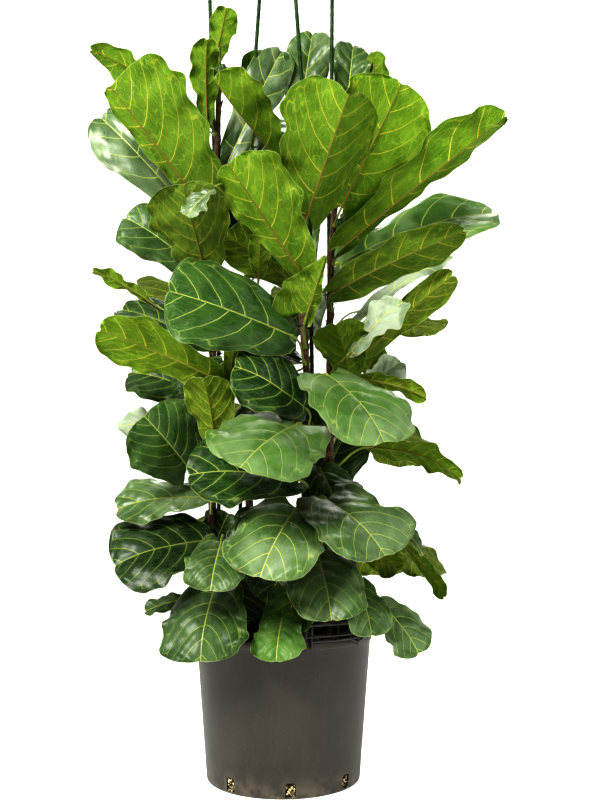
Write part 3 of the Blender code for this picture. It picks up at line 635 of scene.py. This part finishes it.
    # relief: sunken veins above, raised ones below, and a leathery grain
    raised = under * 2 - 1
    height = veins * raised + fine * 0.14 + f.noise(at, 120, 3) * 0.50
    bump = f.bump(height, 0.75, 0.0011)
    rough = 0.44 - 0.22 * gloss + 0.18 * mottle + 0.10 * veins + under * 0.22
    leafy = f.surface(color, rough, bump, 0.22, **{"Coat Weight": (1 - under) * (0.04 + 0.34 * gloss),
                                                   "Coat Roughness": 0.30})
    through = f.node("BsdfTranslucent", sockets={"Color": (0.19, 0.32, 0.012, 1), "Normal": bump})
    share = (1 - stalk) * (0.28 - 0.22 * age) * shade
    return f.done(f.node("MixShader", sockets={0: share, 1: leafy, 2: through}))


# The midrib runs from base to tip, raised by arch*4u(1-u) and curled by curl*((u-.55)/.45)^2, both times
# the length. Each half is an arc across it: it leaves at the fold and bends on by the roll over half a
# width. The lobes reach back past the base, the edge waves with |v| squared, and the flesh between side
# veins swells as |sin(pi*ribs)|.
def bladeSurface(leaf, u, v, draw):
    base, tip = place(*leaf["base"]), place(*leaf["tip"])
    span = tip - base
    length = np.linalg.norm(span)
    forward = span / length
    turn, tilt = radians(leaf["facing"][0]), radians(leaf["facing"][1])
    looks = np.array([np.sin(turn) * np.cos(tilt), -np.cos(turn) * np.cos(tilt), np.sin(tilt)])
    up = across(looks - (looks @ forward) * forward)
    side = np.cross(forward, up)
    u, v = u[:, None], v[None, :]
    bent = np.clip((u - 0.55) / 0.45, 0, None)
    middle = base + span * u + up * length * (leaf["arch"] * 4 * u * (1 - u) + leaf["curl"] * bent ** 2)
    slope = leaf["arch"] * 4 * (1 - 2 * u) + leaf["curl"] * 2 * bent / 0.45
    along = across(forward + up * slope)
    normal = np.cross(side[None], along)
    # outline with a little unevenness of its own on each side
    bentU = u[:, 0] ** leaf["shift"]
    waist = np.interp(bentU, outline["shares"], outline["waisted"])
    heart = np.interp(bentU, outline["shares"], outline["heart"])
    share = (waist + leaf["heart"] * (heart - waist))[:, None]
    phases = draw.uniform(0, 1, 8)
    uneven = 1 + 0.045 * np.sin(2 * pi * (1.3 * u + phases[0] + 0.4 * np.sign(v))) \
        + leaf["lobes"] * (0.030 * np.sin(2 * pi * (3.1 * u + phases[1] + 0.3 * np.sign(v)))
                           + 0.014 * np.sin(2 * pi * (5.3 * u + phases[2] + 0.2 * np.sign(v))))
    share = share + (leaf["blunt"] + 0.12 * phases[6]) * (1 - share) * np.clip((u - 0.6) / 0.25, 0, 1)
    share = share * (1 - leaf["taper"] * u)
    halfWidth = leaf["width"] / 200 * share * uneven * np.where(v < 0, leaf["halves"][0], leaf["halves"][1])
    reach = np.abs(v) * halfWidth
    fold = np.where(v < 0, radians(leaf["folds"][0]), radians(leaf["folds"][1]))
    roll = np.where(v < 0, radians(leaf["roll"][0]), radians(leaf["roll"][1]))
    bend = roll / (leaf["width"] / 200)
    bend = np.where(np.abs(bend) < 1e-3, 1e-3, bend)
    out = (np.sin(fold + bend * reach) - np.sin(fold)) / bend * np.sign(v)
    rise = -(np.cos(fold + bend * reach) - np.cos(fold)) / bend
    # side veins: whole numbers of ribs, which slant towards the tip and bend forward near the edge
    x = reach * 100
    ribs = leaf["ribs"] * (u - (0.10 + 0.75 * u) * x / (length * 100) - 0.60 * x ** 2 / (leaf["width"] * length * 50))
    ribs = ribs + 0.10 * np.sin(2 * pi * (0.7 * u + phases[3])) + 0.5 * (v < 0) * phases[4]
    quilt = (np.abs(np.sin(pi * ribs)) ** 0.8 - 0.5) * np.clip(np.abs(v) / 0.15, 0, 1) \
        * np.clip((1 - np.abs(v)) / 0.2, 0, 1)
    valley = -np.exp(-(x / 0.5) ** 2) * 0.8
    wave = leaf["wave"] * np.abs(v) ** 2 * np.clip(share, 0, 1) * (
        np.sin(2 * pi * (leaf["waves"] * u + phases[5] + 0.3 * np.sign(v)))
        + 0.45 * np.sin(2 * pi * (leaf["waves"] * 2.3 * u + phases[6] + 0.2 * np.sign(v))) * np.abs(v))
    size = min(leaf["width"], 16) / 16
    sway = 0.42 * size * np.sin(2 * pi * (1.1 * u + 0.6 * v + phases[7])) * np.abs(v)
    ripple = 0.12 * size * np.sin(2 * pi * (2.9 * u - 1.7 * v + phases[2])) * np.abs(v) \
        + 0.07 * size * np.sin(2 * pi * (5.1 * u + 2.3 * v + phases[4])) * np.abs(v) ** 0.5
    rolled = -0.35 * size * np.abs(v) ** 7 * (0.5 + 0.5 * np.sin(2 * pi * (1.7 * u + phases[1] + 0.5 * np.sign(v))))
    lift = rise + (wave + sway + ripple + rolled + leaf["pucker"] * (quilt + valley)) / 100
    lobe = (0.04 + 0.16 * leaf["heart"]) * length * np.abs(v) ** 1.5 * np.clip(1 - u / 0.3, 0, 1) ** 2
    # the end is rounded, with a shallow notch where the midrib stops
    ending = np.clip((u - 0.93) / 0.07, 0, 1)
    rounding = ending * (0.012 * length * v ** 2 + leaf["notch"] * length * np.exp(-(v / 0.3) ** 2))
    points = middle[:, None, :] + side * out[..., None] \
        + normal[:, None, :] * lift[..., None] - along[:, None, :] * (lobe + rounding)[..., None]
    facts = {"x": x * np.sign(v), "ribs": ribs, "half": halfWidth * 100, "length": length * 100}
    return points, facts, (base, along, normal, side)


def stemPoint(stem, height):
    route = stems["routes"][stem]
    return routePlace(route, min(max(height, 1.0), route[-1][2] - 1.0))


# the petiole leaves the stem outwards and bends into the blade's midrib as a cubic curve, and goes on as
# the rib under the blade, with a radius that shrinks to the tip
def stalkRings(leaf, stem, surface, axes):
    base, along, normal, side = axes
    reach = np.hypot(*(np.array(leaf["base"][:2]) - np.array(stems["routes"][stem][0][:2])))
    root = stemPoint(stem, leaf["base"][2] - 0.35 * reach - 1)
    outward = across(np.array([base[0] - root[0], base[1] - root[1], 0.01]))
    root = root + outward * 0.004
    bow = 0.4 * np.linalg.norm(base - root)
    first, second = root + across(outward + np.array([0, 0, 0.5])) * bow, base - along[0] * bow
    t = np.linspace(0, 1, 20, endpoint=False)[:, None]
    curve = (1 - t) ** 3 * root + 3 * (1 - t) ** 2 * t * first + 3 * (1 - t) * t ** 2 * second + t ** 3 * base
    middle = surface[:, surface.shape[1] // 2]
    u = np.linspace(0, 1, len(middle))
    keep = u < 0.97
    ribRadius = (0.0019 * (1 - u) ** 0.8 + 0.00035) * min(1.0, 0.55 + leaf["width"] / 40)
    under = middle - normal * (ribRadius * 0.75)[:, None]
    path = np.vstack([curve, under[keep]])
    swell = 0.0006 + 0.0026 * np.exp(-(t[:, 0] / 0.10) ** 2) + 0.0006 * np.exp(-((1 - t[:, 0]) / 0.15) ** 2)
    radius = np.concatenate([0.0016 + swell, ribRadius[keep]])
    radius[-1] *= 0.3
    return ringsAlong(path, radius, 10, side), len(curve)


def makeLeaf(name, leaf, stem, finish, number):
    draw = np.random.default_rng(200 + number)
    rows, columns = leaf["rows"], leaf["columns"]
    s = np.linspace(0, 1, rows - 2)
    u = np.sort(np.concatenate([s ** 1.15 * (1.15 - 0.15 * s), [0.006, 0.996]]))
    u = u / u[-1]
    c = np.linspace(-1, 1, columns - 2)
    v = np.sort(np.concatenate([np.sign(c) * np.abs(c) ** 1.3, [-0.985, 0.985]]))
    points, facts, axes = bladeSurface(leaf, u, v, draw)
    dv, du = np.gradient(points, v, axis=1), np.gradient(points, u, axis=0)
    normal = across(np.cross(dv, du))
    half = leaf["thickness"] / 2
    top, bottom = points + normal * half, points - normal * half
    total = rows * columns
    uu, vv = np.broadcast_to(u[:, None], (rows, columns)), np.broadcast_to(v[None, :], (rows, columns))
    toEdge = np.minimum((1 - np.abs(vv)) * facts["half"], (1 - uu) * facts["length"])
    own = draw.uniform(0, 40)

    def both(*layers):
        one = np.stack([np.broadcast_to(layer, (rows, columns)) for layer in layers], -1).reshape(-1, 3)
        return np.vstack([one, one])

    face = both(0.0, 0.0, 1.0)
    face[total:, 0] = 1.0
    age = float(np.clip(leaf["age"] + draw.uniform(-0.07, 0.07), 0, 1))
    tone = [age, leaf["sheen"], leaf["brown"]]
    look = [leaf["shade"] * draw.uniform(0.9, 1.08), leaf["gloss"], 0.0]
    sheet = {"points": np.vstack([top.reshape(-1, 3), bottom.reshape(-1, 3)]), "quads": sheetFaces(rows, columns),
             "blade": both(uu, vv, toEdge), "net": both(facts["ribs"], facts["x"], own), "face": face,
             "tone": np.tile(tone, (2 * total, 1)), "look": np.tile(look, (2 * total, 1))}
    rings, bare = stalkRings(leaf, stem, points, axes)
    rib = np.arange(len(rings)) >= bare
    stalk = tubePart(rings, blade=[0.5, 0.0, 5.0], net=[0.5, 5.0, own],
                     face=np.stack([rib * 1.0, np.ones(len(rings)), rib * 1.0], -1), tone=tone, look=look)
    nodes = [name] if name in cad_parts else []
    makePiece(name + "_blade", [sheet, stalk], finish, nodes)


leafGreen = leafFinish()
number = 0
for stem, grown in leaves.items():
    for number, (name, leaf) in enumerate(grown.items(), number + 1):
        makeLeaf(name, leaf, stem, leafGreen, number)
    print("leaves done on the", stem, "stem")


# pot

pot = {
    "wall": 0.0025,
    "footRadius": 0.1447,
    "lipHeight": 0.014,
    "lipStep": 0.003,
    "turns": 192,
    "slots": 8,
    "slotTurn": 6,
    "slotWidth": 0.018,
    "slotHeight": 0.028,
    "slotCorner": 0.004,
    "slotFoot": 0.0042,
}


def potFinish():
    f = Finish("pot_plastic")
    at = f.places()
    broad = f.noise(at, 7, 3)
    streaks = f.noise(f.stretched(at, (1, 1, 0.08)), 90, 4)
    grain = f.noise(at, 900, 2)
    height = Value(f, f.node("SeparateXYZ", sockets={0: at}).socket.node.outputs[2])
    specks = f.cells(at, 310).step(0.17, 0.06) * f.noise(at, 75, 3).step(0.50, 0.66)
    color = f.mix(broad.step(0.3, 0.7), (0.028, 0.025, 0.019), (0.042, 0.037, 0.029))
    color = f.mix(streaks.step(0.52, 0.75) * 0.14, color, (0.085, 0.074, 0.060))
    color = f.mix(height.step(0.05, 0.0) * f.noise(at, 40, 4).step(0.35, 0.65) * 0.5, color, (0.15, 0.125, 0.092))
    color = f.mix(specks * 0.6, color, (0.34, 0.30, 0.24))
    rough = 0.40 + 0.16 * broad + 0.14 * streaks + specks * 0.2
    bump = f.bump(grain * 0.4 + streaks * 0.3 + specks, 0.25, 0.0005)
    return f.done(f.surface(color, rough, bump, 0.45))


def wallRadius(height):
    share = min(height / (rimHeight - pot["lipHeight"]), 1)
    return pot["footRadius"] + (rimRadius - pot["lipStep"] - pot["footRadius"]) * share


# the pot's outline turned about the upright axis, with faint moulding rings on the wall
def potShell():
    wall, foot = pot["wall"], pot["footRadius"]
    lip = rimHeight - pot["lipHeight"]
    heights = np.linspace(0.007, lip - 0.003, 26)
    outer = [(wallRadius(h) + 0.00025 * np.cos(h * 900) * (0.02 < h < 0.05), h) for h in heights]
    profile = [(foot - 3 * wall, wall), (wallRadius(0.012) - wall, 0.012), (wallRadius(lip) - wall, lip),
               (wallRadius(lip) - wall, rimHeight - 0.0012), (wallRadius(lip) - wall + 0.0007, rimHeight - 0.0002),
               (rimRadius - 0.0018, rimHeight), (rimRadius - 0.0006, rimHeight - 0.0004),
               (rimRadius - 0.0001, rimHeight - 0.0014), (rimRadius - 0.0002, lip + 0.0012),
               (rimRadius - 0.0008, lip + 0.0002), (wallRadius(lip) + 0.0004, lip - 0.0004)]
    profile += outer[::-1] + [(foot + 0.0003, 0.004), (foot - 0.0006, 0.0012), (foot - 0.002, 0.0002),
                              (foot - 0.006, 0.0)]
    radius, height = np.array(profile).T
    angle = np.linspace(0, 2 * pi, pot["turns"], endpoint=False)
    rings = np.stack([radius[:, None] * np.cos(angle), radius[:, None] * np.sin(angle),
                      np.broadcast_to(height[:, None], (len(radius), pot["turns"]))], -1)
    return tubePart(rings[::-1])


# each slot's way out of the pot and its way along the wall
def slotWays():
    for i in range(pot["slots"]):
        turn = radians(pot["slotTurn"]) + i * 2 * pi / pot["slots"]
        yield np.array([np.sin(turn), -np.cos(turn), 0]), np.array([np.cos(turn), np.sin(turn), 0])


# a slot's cutter: a bar with a rounded top, pushed through the wall at the foot
def slotCutter(out, sideways):
    half, top, corner = pot["slotWidth"] / 2, pot["slotHeight"], pot["slotCorner"]
    bend = np.linspace(0, pi, 9)
    x = np.concatenate([half - corner + corner * np.cos(bend[:5]), -half + corner + corner * np.cos(bend[4:]),
                        [-half, half]])
    z = np.concatenate([top - corner + corner * np.sin(bend[:5]), top - corner + corner * np.sin(bend[4:]),
                        [pot["slotFoot"], pot["slotFoot"]]])
    deep = np.array([-0.012, 0.012]) + pot["footRadius"]
    rings = out * deep[:, None, None] + sideways * x[None, :, None] + np.array([0, 0, 1]) * z[None, :, None]
    return tubePart(rings)


def plainMesh(name, part):
    mesh = bpy.data.meshes.new(name)
    mesh.from_pydata(part["points"].tolist(), [], part["quads"].tolist() + part["tris"].tolist())
    made = bpy.data.objects.new(name, mesh)
    bpy.context.scene.collection.objects.link(made)
    return made


def makePot(finish):
    piece = makePiece("nursery_pot", [potShell()], finish, ["pot"])
    cutters = [plainMesh("slot", slotCutter(*ways)) for ways in slotWays()]
    for cutter in cutters:
        cut = piece.modifiers.new("slot", "BOOLEAN")
        cut.object, cut.operation, cut.solver = cutter, "DIFFERENCE", "MANIFOLD"
    bpy.context.view_layer.update()
    shaped = bpy.data.meshes.new_from_object(piece.evaluated_get(bpy.context.evaluated_depsgraph_get()))
    piece.modifiers.clear()
    piece.data = shaped
    shaped.shade_smooth()
    shaped.set_sharp_from_angle(angle=radians(40))
    for cutter in cutters:
        bpy.data.objects.remove(cutter, do_unlink=True)


makePot(potFinish())
print("pot done")


# substrate, roots and perlite

soil = {
    "grains": 1500,
    "perlite": 260,
    "slotPerlite": 26,
    "slotRoots": 5,
    "gap": 0.0006,     # between the substrate and the pot's wall
}


def soilFinish():
    f = Finish("substrate")
    at = f.places()
    kind, tone, _ = f.stored("grain")
    clods = f.noise(at, 130, 5, 0.7)
    fibres = f.cells(f.stretched(at, (1, 0.3, 1)), 340)
    color = f.mix(clods.step(0.3, 0.7), (0.010, 0.006, 0.004), (0.062, 0.038, 0.022))
    color = f.mix(fibres.step(0.25, 0.1) * 0.5, color, (0.13, 0.085, 0.05))
    color = f.mix(tone * 0.8, color, (0.095, 0.058, 0.032))
    color = f.mix(kind, color, f.mix(clods.step(0.3, 0.7), (0.42, 0.36, 0.16), (0.85, 0.80, 0.58)))
    bump = f.bump(clods, 0.9, 0.003)
    return f.done(f.surface(color, 0.85 + 0.1 * clods, bump, 0.25))


# many small lumps at once: the corners of one eight-faced grain, stretched, turned and put in place
def lumps(centres, sizes, draw):
    corner = np.array([(1, 0, 0), (0, 1, 0), (-1, 0, 0), (0, -1, 0), (0, 0, 1), (0, 0, -1)], float)
    faces = np.array([(0, 1, 4), (1, 2, 4), (2, 3, 4), (3, 0, 4), (1, 0, 5), (2, 1, 5), (3, 2, 5), (0, 3, 5)])
    count = len(centres)
    shape = corner[None] * sizes[:, None, :] * draw.uniform(0.7, 1.2, (count, 6, 1))
    turn = draw.uniform(0, 2 * pi, count)
    tilt = draw.uniform(-0.6, 0.6, count)
    c, s = np.cos(turn)[:, None], np.sin(turn)[:, None]
    x, y = shape[..., 0] * c - shape[..., 1] * s, shape[..., 0] * s + shape[..., 1] * c
    ct, st = np.cos(tilt)[:, None], np.sin(tilt)[:, None]
    z = shape[..., 2]
    points = np.stack([x * ct + z * st, y, -x * st + z * ct], -1) + centres[:, None]
    tris = (faces[None] + 6 * np.arange(count)[:, None, None]).reshape(-1, 3)
    return {"points": points.reshape(-1, 3), "tris": tris}


# the top is a crowned disc with slow waves and two sizes of clods; the side follows the pot's wall
def soilHeightAt(x, y):
    r = np.hypot(x, y)
    crown = np.interp(r, [0, 0.10, 0.145, 0.17], [0.0035, 0.0005, -0.0045, -0.003])
    return soilHeight + crown + 0.0016 * np.sin(x * 95) * np.cos(y * 83) + 0.0009 * np.sin(x * 260 + y * 170) \
        + 0.0006 * np.sin(x * 610 - y * 450)


def makeSoil(finish):
    draw = np.random.default_rng(5)
    angle = np.linspace(0, 2 * pi, 96, endpoint=False)
    lining = pot["wall"] + soil["gap"]
    inner = wallRadius(soilHeight) - lining
    low = np.array([(pot["footRadius"] - 0.009, 0.0045), (wallRadius(0.014) - lining, 0.014),
                    (wallRadius(0.12) - lining, 0.12), (inner, soilHeight - 0.004)])
    radius = np.concatenate([low[:, 0], np.linspace(inner, 0.004, 44)])
    x, y = radius[:, None] * np.cos(angle), radius[:, None] * np.sin(angle)
    z = soilHeightAt(x, y)
    z[:4] = low[:, 1][:, None]
    body = tubePart(np.stack([x, y, z], -1), grain=[0.0, 0.0, 0.0])

    def scattered(count, size, white):
        r = inner * 0.985 * np.sqrt(draw.uniform(0, 1, count))
        a = draw.uniform(0, 2 * pi, count)
        x, y = r * np.cos(a), r * np.sin(a)
        sizes = draw.uniform(*size, (count, 1)) * draw.uniform(0.6, 1.3, (count, 3))
        part = lumps(np.stack([x, y, soilHeightAt(x, y) + sizes[:, 2] * 0.3], -1), sizes, draw)
        tone = np.repeat(draw.uniform(0, 1, count), 6)
        part["grain"] = np.stack([np.full(count * 6, white), tone, tone], -1)
        return part

    parts = [body, scattered(soil["grains"], (0.0013, 0.0036), 0.0),
             scattered(soil["perlite"], (0.0010, 0.0024), 1.0)]
    # perlite and root ends that show in the drain slots
    for out, sideways in slotWays():
        count = soil["slotPerlite"]
        shift = draw.uniform(-0.0075, 0.0075, count)
        height = draw.uniform(0.006, 0.026, count)
        depth = pot["footRadius"] - draw.uniform(0.0008, 0.003, count)
        centres = out * depth[:, None] + sideways * shift[:, None] + np.array([0, 0, 1]) * height[:, None]
        sizes = draw.uniform(0.0013, 0.0028, (count, 1)) * draw.uniform(0.7, 1.2, (count, 3))
        part = lumps(centres, sizes, draw)
        white = np.repeat((draw.random(count) < 0.85) * 1.0, 6)
        part["grain"] = np.stack([white, white * 0 + 0.5, white], -1)
        parts += [part, slotFill(out, sideways)]
        for _ in range(soil["slotRoots"]):
            start = out * (pot["footRadius"] - 0.006) + sideways * draw.uniform(-0.008, 0.008) \
                + np.array([0, 0, draw.uniform(0.006, 0.026)])
            steps = np.linspace(0, 1, 9)[:, None]
            way = sideways * draw.uniform(-0.010, 0.010) + np.array([0, 0, draw.uniform(-0.012, 0.006)])
            curve = start + out * (0.007 * np.sin(steps * pi * 0.8)) + way * steps
            curve[:, 2] = np.maximum(curve[:, 2], 0.003)
            parts.append(tubePart(ringsAlong(curve, 0.0006 * (1.1 - steps[:, 0] * 0.7), 6, sideways),
                                  grain=[0.55, 0.6, 0.0]))
    makePiece("root_ball", parts, finish, ["soil_and_roots"])


# a lump of substrate that bulges into a slot: a cushion on a grid, thickest in its middle
def slotFill(out, sideways):
    a, b = np.meshgrid(np.linspace(-1, 1, 9), np.linspace(-1, 1, 11), indexing="ij")
    swell = (1 - a ** 2) * (1 - b ** 2)
    front = pot["footRadius"] - 0.0042 + 0.0022 * swell + 0.0006 * np.sin(a * 9 + b * 7)
    base = out * front[..., None] + sideways * (a * 0.0088)[..., None] \
        + np.array([0, 0, 1]) * (0.0165 + b * 0.0112)[..., None]
    back = base - out * (0.002 + 0.004 * swell)[..., None]
    return {"points": np.vstack([base.reshape(-1, 3), back.reshape(-1, 3)]), "quads": sheetFaces(*a.shape)[:, ::-1],
            "grain": np.tile([0.15, 0.5, 0.0], (2 * a.size, 1))}


makeSoil(soilFinish())
print("substrate done")


# rim grips

grips = {
    "bar": 0.0031,
    "outset": 0.0029,  # the bars' middle outside the rim, and inside the wall
    "inset": 0.0033,
    "turns": {"front": 33, "back": 213},
}


def gripFinish():
    f = Finish("grip_plastic")
    at = f.places()
    worn = f.noise(at, 160, 4)
    color = f.mix(worn.step(0.4, 0.75), (0.008, 0.008, 0.008), (0.030, 0.029, 0.027))
    return f.done(f.surface(color, 0.34 + 0.22 * worn, f.bump(f.noise(at, 700, 2), 0.2, 0.0004)))


# bars along routes given as (degrees from the grip's middle, height over the rim), on the rim's circle
def makeGrip(side, turn, finish):
    bar = grips["bar"]
    outside = rimRadius + grips["outset"]
    inside = wallRadius(rimHeight) - pot["wall"] - grips["inset"]

    def around(mark, radius, height):
        angle = np.radians(turn + np.array(mark, float))
        return np.stack([radius * np.sin(angle), -radius * np.cos(angle), rimHeight + np.array(height, float)], -1)

    def bent(marks):
        mark, height = np.array(marks, float).T
        return around(mark, outside, height)

    routes = [
        (bent([(-19, -0.016), (-19, 0.005), (-18.8, 0.0255), (-17.5, 0.028), (-10, 0.0288), (0, 0.029),
               (10, 0.0288), (17.5, 0.028), (18.8, 0.0255), (19, 0.005), (19, -0.013)]), 90, 1.0),
        (bent([(-15.5, -0.014), (-15.5, 0.008), (-15.5, 0.028)]), 20, 0.9),
        (bent([(-20, 0.0085), (-10, 0.009), (0, 0.009), (10, 0.009), (20, 0.0085)]), 50, 0.9),
        (bent([(-16, 0.0005), (-5, 0.001), (8, 0.001), (20, 0.0005)]), 50, 0.9),
        (bent([(11, 0.001), (15, -0.0035), (19.5, -0.010)]), 16, 0.9),
        (bent([(18, -0.008), (24, -0.003), (31, -0.001), (33, -0.006)]), 30, 0.9),
    ]
    for mark in (-12, 12):
        routes.append((np.vstack([around([mark], outside, [0.0065]), around([mark], outside - 0.002, [0.0036]),
                                  around([mark], inside + 0.002, [0.0033]), around([mark], inside, [0.001]),
                                  around([mark], inside, [-0.010])]), 24, 0.9))
    # a bar's first side must not lie along the bar: up for the level ones, along the rim for the others
    upward, rimward = (0.02, 0.03, 1.0), (np.cos(radians(turn)), np.sin(radians(turn)), 0.01)
    parts = []
    for number, (route, count, share) in enumerate(routes):
        path = smoothRoute(route, count)
        end = np.clip(np.minimum(np.arange(count), np.arange(count)[::-1]) / 1.5, 0.45, 1)
        parts.append(tubePart(ringsAlong(path, bar * share * end, 12, upward if 1 < number < 6 else rimward)))
    makePiece("grip_" + side, parts, finish, ["rim_grip_" + side])


gripBlack = gripFinish()
for side, turn in grips["turns"].items():
    makeGrip(side, turn, gripBlack)
print("grips done")


# ties

ties = {
    "radius": 0.0012,
    "reach": (0.0105, 0.0067),   # the loop's radius about the stem and about the stake
    "heights": {"central_tie_1": ("central", 77), "central_tie_2": ("central", 62), "right_tie_3": ("right", 69),
                "left_tie_4": ("left", 58)},
}


def tieFinish():
    f = Finish("tie_plastic")
    at = f.places()
    ridges = f.noise(f.stretched(at, (1, 1, 4)), 300, 2)
    color = f.mix(ridges.step(0.4, 0.8), (0.007, 0.007, 0.007), (0.030, 0.030, 0.028))
    return f.done(f.surface(color, 0.45 + 0.2 * ridges, f.bump(ridges, 0.4, 0.0004)))


# a loop that is the outline of two circles, one about the stem and one about the stake, and two short
# ends twisted together where it closes
def makeTie(name, stem, height, finish):
    first, second = (routePlace(one["routes"][stem], height) for one in (stems, stakes))
    way = np.arctan2(second[1] - first[1], second[0] - first[0])
    reach = ties["reach"]
    t = np.linspace(0, 1, 72, endpoint=False)
    half = t < 0.5
    turn = way + np.where(half, pi / 2 + pi * t * 2, -pi / 2 + pi * (t - 0.5) * 2)
    centre = np.where(half[:, None], first, second)
    radius = np.where(half, reach[0], reach[1])
    loop = centre + np.stack([radius * np.cos(turn), radius * np.sin(turn), 0.0008 * np.sin(4 * pi * t)], -1)
    closed = np.vstack([loop, loop[:1]])
    out = np.array([np.cos(way + 2.4), np.sin(way + 2.4), 0.0])
    start = first + out * reach[0]
    parts = [tubePart(ringsAlong(closed, ties["radius"], 8, (0, 0, 1)))]
    for lean in (-1, 1):
        s = np.linspace(0, 1, 12)[:, None]
        tail = start + out * 0.011 * s + np.array([0, 0, lean * 0.004]) * s ** 2 \
            + np.array([0, 0, 1]) * lean * 0.0012 * np.cos(s * 9)
        parts.append(tubePart(ringsAlong(tail, ties["radius"] * 0.9, 8, (0, 0, 1))))
    makePiece(name + "_twist", parts, finish, [name])


tieBlack = tieFinish()
for name, (stem, height) in ties["heights"].items():
    makeTie(name, stem, height, tieBlack)
print("ties done")


# stage, lights and camera

stage = {
    "floor": 14.0,
    "floorColor": (0.90, 0.90, 0.89),
    "glow": 0.35,      # a little light of its own keeps the far floor pale
    "behind": 1.0,     # brightness of the studio behind the plant
    "before": 0.17,    # and of the side that the camera stands on
    "lights": {  # place, aimed at, size, watts, color
        "key": ((-1.5, -2.2, 2.6), (0, 0, 0.95), 1.1, 155, (1.0, 0.99, 0.95)),
        "fill": ((2.4, -1.8, 1.5), (0, 0, 0.8), 1.4, 20, (0.98, 0.99, 1.0)),
        "back": ((0.5, 2.0, 2.9), (0, 0, 1.2), 1.3, 60, (1.0, 1.0, 0.97)),
    },
    "camera": (0.0316, -1.75, 0.503),
    "pitch": 7.0,
    "lens": 39.7,
}


def makeStage():
    size = stage["floor"] / 2
    mesh = bpy.data.meshes.new("floor")
    mesh.from_pydata([(-size, -size, 0), (size, -size, 0), (size, size, 0), (-size, size, 0)], [], [(0, 1, 2, 3)])
    floor = bpy.data.objects.new("floor", mesh)
    bpy.context.scene.collection.objects.link(floor)
    f = Finish("floor")
    shade = f.noise(f.places(), 3, 3)
    color = f.mix(shade * 0.15, stage["floorColor"], (0.80, 0.80, 0.80))
    mesh.materials.append(f.done(f.node("BsdfPrincipled", sockets={"Base Color": color, "Roughness": 0.7,
                                                              "Emission Color": (1, 1, 1, 1),
                                                              "Emission Strength": stage["glow"]})))
    world = bpy.data.worlds.new("studio")
    w = Finish("studio", world)
    direction = w.node("SeparateXYZ", sockets={0: w.node("TexCoord")})
    back = Value(w, direction.socket.node.outputs[1])
    bright = back.step(0.0, 0.60, stage["before"], stage["behind"])
    w.done(w.node("Background", sockets={0: (1, 1, 1, 1), 1: bright}), "World")
    bpy.context.scene.world = world


def aim(obj, target):
    away = np.array(obj.location) - np.array(target)
    obj.rotation_euler = (np.arctan2(np.hypot(away[0], away[1]), away[2]), 0, np.arctan2(away[0], -away[1]))


def makeLights():
    for name, (at, target, size, watts, color) in stage["lights"].items():
        light = bpy.data.lights.new(name, "AREA")
        light.shape, light.size, light.energy, light.color = "SQUARE", size, watts, color
        lamp = bpy.data.objects.new(name, light)
        lamp.location = at
        aim(lamp, target)
        bpy.context.scene.collection.objects.link(lamp)


def makeCamera():
    data = bpy.data.cameras.new("camera")
    data.lens, data.sensor_width = stage["lens"], 36
    camera = bpy.data.objects.new("camera", data)
    camera.location = stage["camera"]
    camera.rotation_euler = (radians(90 + stage["pitch"]), 0, 0)
    bpy.context.scene.collection.objects.link(camera)
    bpy.context.scene.camera = camera


makeStage()
makeLights()
makeCamera()
bpy.context.scene.view_settings.view_transform = "Standard"
bpy.context.scene.view_settings.look = "Very High Contrast"
print("stage done")
